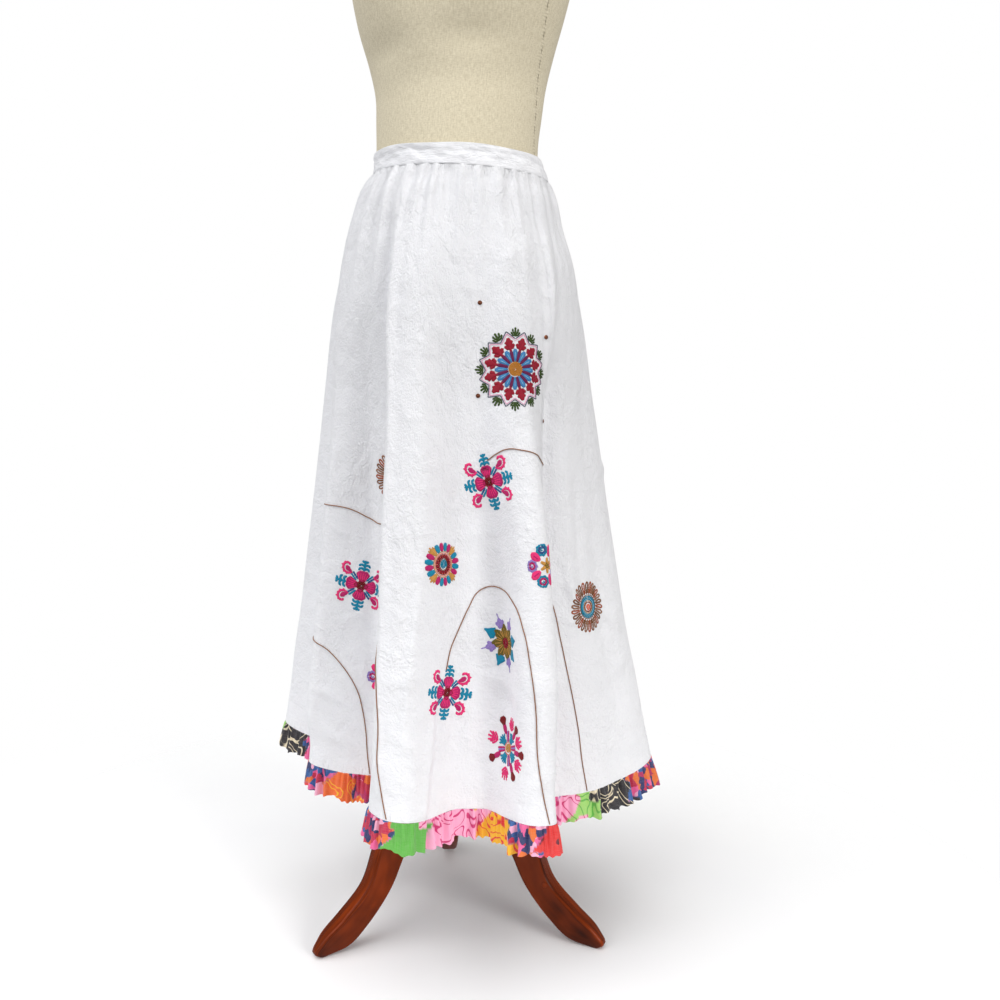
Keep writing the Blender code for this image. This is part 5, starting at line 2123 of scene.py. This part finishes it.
@dataclass
class Sequins:
    """Small bronze sequins, each a dished disc held by a bead, joined into one mesh."""

    cloth: SkirtCloth
    places: tuple
    sides: int = 20
    profile: tuple = ((0.0003, 0.0020), (0.0008, 0.0018), (0.0010, 0.0012), (0.0016, 0.0009),
                      (0.0026, 0.0014), (0.0028, 0.0011), (0.0018, 0.0004), (0.0003, 0.0004))

    def make(self, name: str, material: bpy.types.Material) -> bpy.types.Object:
        """Make them all: a profile turned round the cloth's normal at each place.

        Args:
            name: The joined mesh's name.
            material: Their finish.

        Returns:
            The joined sequins.
        """
        share, down = np.array(self.places).T
        middle = self.cloth.lay(share, down, np.zeros_like(share))
        up = self.cloth.lay(share, down, np.ones_like(share)) - middle
        side = np.cross(up, (0.0, 0.0, 1.0))
        side /= np.linalg.norm(side, axis=1, keepdims=True)
        over = np.cross(side, up)
        turn = np.linspace(0.0, 2 * np.pi, self.sides, endpoint=False)
        out = (np.cos(turn)[None, :, None] * side[:, None]
               + np.sin(turn)[None, :, None] * over[:, None])
        reach, lift = np.array(self.profile).T
        points = (middle[:, None, None] + reach[None, :, None, None] * out[:, None]
                  + lift[None, :, None, None] * up[:, None, None])
        size = len(self.profile) * self.sides
        one = grid_quads(len(self.profile), self.sides, wrap=True)
        quads = np.concatenate([one + number * size for number in range(len(share))])
        caps = [number * size + place for number in range(len(share)) for place in
                (np.arange(self.sides), np.arange(size - self.sides, size)[::-1])]
        return Surface(name, points.reshape(-1, 3), quads, caps=caps).build(material)


@dataclass
class Torso:
    """The dress form's linen-covered torso, with its shaped seams."""

    axis: np.ndarray
    columns: int = 240
    rows: int = 170
    bust_height: float = 1.320
    bust_half_spacing: float = 0.082
    bust_reach: float = 0.024
    bust_spread: float = 0.062
    front_sharpness: float = 6.0
    neck_round: float = 0.004
    neck_rings: int = 4
    under_height: float = 1.192
    under_half_spacing: float = 0.066
    under_depth: float = 0.0055
    under_spread: tuple = (0.042, 0.020)
    map_radius: float = 0.14
    seam_angles: tuple = (-95.0, 95.0, 180.0)
    seam_lean: float = 94.0
    lean_height: float = 0.2

    def surface_points(self) -> tuple[np.ndarray, np.ndarray]:
        """The torso's rings from the neck down: smooth ovals, with bell curves for the figure.

        One pair of bell curves raises the bust, and a lower pair hollows the front under it.

        Returns:
            Rows by columns by x, y and z, and the angle of each column.
        """
        table = np.array(FORM_RINGS)
        height = np.linspace(table[-1, 0], table[0, 0], self.rows)
        rings = smooth_between(table, table[:, 0], height)
        angle = np.linspace(-180.0, 180.0, self.columns, endpoint=False)
        turn = np.radians(angle)[None, :]
        x = rings[:, 1:2] * np.sin(turn)
        y = rings[:, 3:4] - rings[:, 2:3] * np.cos(turn)
        rise = (height[:, None] - self.bust_height) / self.bust_spread
        side = (np.abs(x) - self.bust_half_spacing) / self.bust_spread
        front = np.clip(np.cos(turn) * self.front_sharpness, 0.0, 1.0)
        y = y - self.bust_reach * np.exp(-(rise**2) - side**2) * front
        wide, high = self.under_spread
        rise = (height[:, None] - self.under_height) / high
        side = (np.abs(x) - self.under_half_spacing) / wide
        y = y + self.under_depth * np.exp(-(rise**2) - side**2) * front
        z = np.broadcast_to(height[:, None], x.shape)
        points = np.stack([x + self.axis[0], y + self.axis[1], z], axis=2)
        return points, angle

    def make(self, material: bpy.types.Material) -> bpy.types.Object:
        """Make the torso, closed at the neck and underneath.

        Args:
            material: Its finish.

        Returns:
            The torso.
        """
        points, angle = self.surface_points()
        centre = points[:1].mean(axis=1, keepdims=True)
        turn = np.linspace(np.pi / 2, 0.0, self.neck_rings + 1)[:-1, None, None]
        reach = np.linalg.norm(points[:1] - centre, axis=2, keepdims=True)
        inset = self.neck_round * (1 - np.cos(turn)) / reach
        lip = points[:1] + (centre - points[:1]) * inset
        lip = lip - np.array([0.0, 0.0, self.neck_round]) * (1 - np.sin(turn))
        body = points[points[:, 0, 2] < points[0, 0, 2] - self.neck_round]
        points = np.concatenate([lip, body], axis=0)
        rows, columns = points.shape[:2]
        index = np.arange(rows * columns).reshape(rows, columns)
        radius = np.hypot(*(points - points.mean(axis=1, keepdims=True))[..., :2].T).T
        over_waist = np.clip(points[..., 2] - WAIST_SEAM_HEIGHT, 0.0, self.lean_height)
        lean = self.seam_lean * over_waist
        seams = [seam - math.sin(math.radians(seam)) * lean for seam in self.seam_angles]
        away = np.abs((angle[None, :] - np.array(seams) + 180) % 360 - 180).min(axis=0)
        distance = np.radians(away) * radius
        around = np.broadcast_to(np.radians(angle) * self.map_radius, radius.shape)
        uv = np.stack([around, points[..., 2]], axis=-1)
        surface = Surface("torso_cover", points.reshape(-1, 3), grid_quads(rows, columns, wrap=True),
                          caps=[index[0], index[-1, ::-1]], uv=uv.reshape(-1, 2),
                          values={"seam_distance": distance.ravel()})
        return surface.build(material)


@dataclass
class Leg:
    """A curved leg: a rounded oblong carried along from the toe up to the hub."""

    axis: np.ndarray
    number: int
    first_angle: float = -28.6
    thickness: float = 0.026
    corner: float = 0.005
    toe_share: float = 0.42
    plug_out: float = 0.1435
    plug_height: float = 0.077
    plug_radius: float = 0.0040
    plug_levels: tuple = (0.8, 1.03, 1.06)
    plug_face: float = 0.85
    plug_grain: tuple = (0.16, 0.02)
    toe_reach: float = 0.2
    length: float = 0.33
    map_radius: float = 0.014
    stations: int = 90
    sides: int = 36

    def outline(self, points: tuple) -> np.ndarray:
        """One side of the leg's outline from the toe to the hub, evenly by length."""
        return spaced(curve_through(np.array(points), 200), self.stations)

    def across(self) -> tuple[np.ndarray, np.ndarray]:
        """The way the leg runs out in plan, and the way across it."""
        way = direction(np.array(self.first_angle + 120.0 * (self.number - 1)))
        return way, np.array([-way[1], way[0]])

    def skin(self, turn: np.ndarray) -> np.ndarray:
        """The leg's sections: rounded oblongs between the outlines, thinner at the toe.

        Args:
            turn: Angles round a section, in radians.

        Returns:
            Rows by columns by x, y and z.
        """
        inside, outside = self.outline(LEG_INSIDE), self.outline(LEG_OUTSIDE)
        middle, half = (inside + outside) / 2, (outside - inside) / 2
        reach = np.linalg.norm(half, axis=1)
        cosine, sine = np.cos(turn), np.sin(turn)
        taper = np.sin(np.clip(np.linspace(0.0, 1.0 / self.toe_reach, self.stations), 0.0, 1.0)
                       * np.pi / 2)
        half_thick = self.thickness / 2 * (self.toe_share + (1 - self.toe_share) * taper)[:, None]
        corner = np.minimum(self.corner, np.minimum(reach, half_thick[:, 0]) * 0.9)[:, None]
        across = np.sign(cosine) * (reach[:, None] - corner) + corner * cosine
        thick = np.sign(sine) * (half_thick - corner) + corner * sine
        unit = half / reach[:, None]
        plane = middle[:, None] + unit[:, None] * across[..., None]
        way, side = self.across()
        plan = plane[..., :1] * way + thick[..., None] * side + self.axis[:2]
        return np.concatenate([plan, plane[..., 1:]], axis=2)

    def plug(self, turn: np.ndarray) -> np.ndarray:
        """The screw plug's rings: a short round of wood on one face, with a softened edge.

        Args:
            turn: Angles round the plug, in radians.

        Returns:
            Three rings of points, by x, y and z.
        """
        way, side = self.across()
        rim = self.axis[:2] + way * (self.plug_out + self.plug_radius * np.cos(turn)[:, None])
        rim = np.column_stack([rim, self.plug_height + self.plug_radius * np.sin(turn)])
        face = np.array([*(-side * self.thickness / 2), 0.0])
        rings = np.array([rim + face * level for level in self.plug_levels])
        middle = rings[-1].mean(axis=0)
        rings[-1] = middle + (rings[-1] - middle) * self.plug_face
        return rings

    def make(self, material: bpy.types.Material) -> bpy.types.Object:
        """Make the leg.

        Args:
            material: Its finish.

        Returns:
            The leg, with its map running along it.
        """
        turn = np.linspace(0.0, 2 * np.pi, self.sides, endpoint=False)
        skin, plug = self.skin(turn), self.plug(turn)
        points = np.concatenate([skin, plug]).reshape(-1, 3)
        index = np.arange(len(points)).reshape(-1, self.sides)
        quads = np.concatenate([grid_quads(self.stations, self.sides, wrap=True),
                                index[self.stations, 0] + grid_quads(len(plug), self.sides, wrap=True)])
        along = np.full(index.shape, self.plug_grain[0])
        along[:self.stations] = np.linspace(0.0, self.length, self.stations)[:, None]
        around = np.full(index.shape, self.plug_grain[1])
        around[:self.stations] = turn * self.map_radius
        ends = [index[0], index[self.stations - 1, ::-1], index[self.stations], index[-1, ::-1]]
        surface = Surface(f"leg_{self.number}", points, quads, caps=ends,
                          uv=np.stack([along.ravel(), around.ravel()], axis=1))
        return surface.build(material)


class Light(NamedTuple):
    """A broad sun: name, strength, breadth, angle from the front, height over the horizon."""

    name: str
    strength: float
    softness: float
    azimuth: float
    elevation: float
    colour: tuple


@dataclass
class Studio:
    """A pale floor, soft light and the camera at the photograph's angle."""

    axis: np.ndarray
    azimuth: float = 28.0
    distance: float = 1.37
    height: float = 0.752
    pitch: float = 0.1009
    focal_share: float = 0.9871
    shift: tuple = (0.04465, -0.00925)
    floor_reach: float = 3.0
    floor_drop: float = 0.0005
    floor_fade: tuple = (0.35, 1.1)
    floor_tones: tuple = (srgb(250, 250, 250), srgb(247, 247, 248))
    surroundings: float = 0.30
    lights: tuple = (Light("key_light", 1.5, 26.0, 70.0, 20.0, (1.0, 0.99, 0.97)),
                     Light("fill_light", 1.35, 60.0, -32.0, 34.0, (0.965, 0.98, 1.0)),
                     Light("top_light", 1.75, 70.0, -10.0, 80.0, (1.0, 1.0, 1.0)))

    def make_camera(self) -> None:
        """Place the camera and make it the scene's."""
        data = bpy.data.cameras.new("camera")
        data.sensor_width = 36.0
        data.lens = self.focal_share * data.sensor_width
        data.shift_x, data.shift_y = self.shift
        camera = bpy.data.objects.new("camera", data)
        way = direction(np.array(self.azimuth))
        camera.location = (*(self.axis[:2] + way * self.distance), self.height)
        camera.rotation_euler = (math.pi / 2 - self.pitch, 0.0, math.radians(self.azimuth))
        bpy.context.scene.collection.objects.link(camera)
        bpy.context.scene.camera = camera

    def make_light(self, light: Light) -> None:
        """Add one of the suns."""
        data = bpy.data.lights.new(light.name, "SUN")
        data.energy = light.strength
        data.angle = math.radians(light.softness)
        data.color = light.colour
        sun = bpy.data.objects.new(light.name, data)
        sun.rotation_euler = (math.radians(90 - light.elevation), 0.0, math.radians(light.azimuth))
        bpy.context.scene.collection.objects.link(sun)

    def make(self) -> None:
        """Make the floor, the lights, the surroundings and the camera."""
        scene = bpy.context.scene
        scene.view_settings.view_transform = "Standard"
        reach = self.floor_reach
        corners = np.array([[-reach, -reach, 0], [reach, -reach, 0], [reach, reach, 0],
                            [-reach, reach, 0]], dtype=float)
        material, sheet, shader = start_material("studio_floor", 0.55)
        place = sheet.add("ShaderNodeTexCoord").outputs["Object"]
        mottle = sheet.range(sheet.noise(place, 3.0, 2.0), 0.3, 0.7, 0.0, 1.0)
        toned = sheet.mix(mottle, *self.floor_tones)
        sheet.join(shader, {"Base Color": toned})
        out = sheet.add("ShaderNodeVectorMath", {0: place}, operation="LENGTH").outputs["Value"]
        cover = sheet.range(out, *self.floor_fade, 1.0, 0.0, smooth=True)
        sheet.join(shader, {"Alpha": cover})
        floor = Surface("studio_floor", corners, np.array([[0, 1, 2, 3]])).build(material, False)
        floor.location.z = -self.floor_drop
        world = bpy.data.worlds.new("studio")
        scene.world = world
        world.use_nodes = True
        tree = NodeSheet(world.node_tree)
        background = world.node_tree.nodes["Background"]
        seen = tree.add("ShaderNodeLightPath").outputs["Is Camera Ray"]
        strength = tree.range(seen, 0.0, 1.0, self.surroundings, 1.0)
        tree.join(background, {"Strength": strength, "Color": (1.0, 1.0, 1.0, 1.0)})
        for light in self.lights:
            self.make_light(light)
        self.make_camera()


def pole_axis() -> np.ndarray:
    """The pole's place in plan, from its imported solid."""
    low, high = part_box("stand_pole")
    return (np.array(low) + np.array(high))[:2] / 2


def attach(piece: bpy.types.Object, slot: str, *nodes: str) -> None:
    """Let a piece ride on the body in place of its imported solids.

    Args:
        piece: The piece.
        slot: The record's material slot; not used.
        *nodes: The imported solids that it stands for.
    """
    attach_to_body(piece, BODY)
    if nodes:
        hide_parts(*nodes)
    triangles = sum(len(polygon.vertices) - 2 for polygon in piece.data.polygons)
    LOG.info("%s: %d triangles before its wall", piece.name, triangles)


def main() -> None:
    """Build the studio and every piece of the skirt and its dress form."""
    logging.basicConfig(level=logging.INFO, format="%(name)s %(message)s")
    axis = pole_axis()
    Studio(axis).make()
    effects = Effects()
    white = CottonFinish("white_cotton").build(effects)
    band_white = CottonFinish("band_cotton", crinkle_depth=0.0034, creases_per_metre=90.0,
                              crease_stretch=(0.35, 1.5, 1.0)).build(effects)
    printed = PrintFinish("printed_cotton").build(effects)
    thread = ThreadFinish("embroidery_thread").build(effects)
    linen = LinenFinish("form_linen").build(effects)
    wood = WoodFinish("leg_mahogany", True).build(effects)
    pole_wood = WoodFinish("pole_mahogany", False).build(effects)
    metal = MetalFinish("sequin_bronze").build()

    cloth = SkirtCloth(axis)
    panels = Skirt(cloth).make(white)
    sewn_on = []
    for side, flowers, stems, low in (("front", FRONT_FLOWERS, FRONT_STEMS, 0.0),
                                      ("back", BACK_FLOWERS, BACK_STEMS, 0.5)):
        places = tuple(place for place in SEQUINS if low <= place[0] < low + 0.5)
        sewn_on.append([Embroidery(cloth, f"embroidery_{side}", flowers).make(thread),
                        Stems(cloth, f"stems_{side}", stems).make(thread),
                        Sequins(cloth, places).make(f"sequins_{side}", metal)])
        for piece in sewn_on[-1]:
            attach(piece, "white_cotton")
    bands = Waistband(cloth).make(band_white)
    frills = Frill(cloth).make(printed)
    for side, panel, band, frill, trims in zip(("front", "back"), panels, bands, frills, sewn_on):
        attach(panel, "white_cotton", f"skirt_{side}")
        attach(band, "white_cotton", f"waistband_{side}")
        attach(frill, "printed_cotton", f"frill_{side}")
    attach(Torso(axis).make(linen), "form_linen", "form_torso")
    for number in (1, 2, 3):
        attach(Leg(axis, number).make(wood), "mahogany", f"stand_leg_{number}")
    for node in ("stand_pole", "stand_hub"):
        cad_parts[node].data.materials.clear()
        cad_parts[node].data.materials.append(pole_wood)


if __name__ == "__main__":
    main()
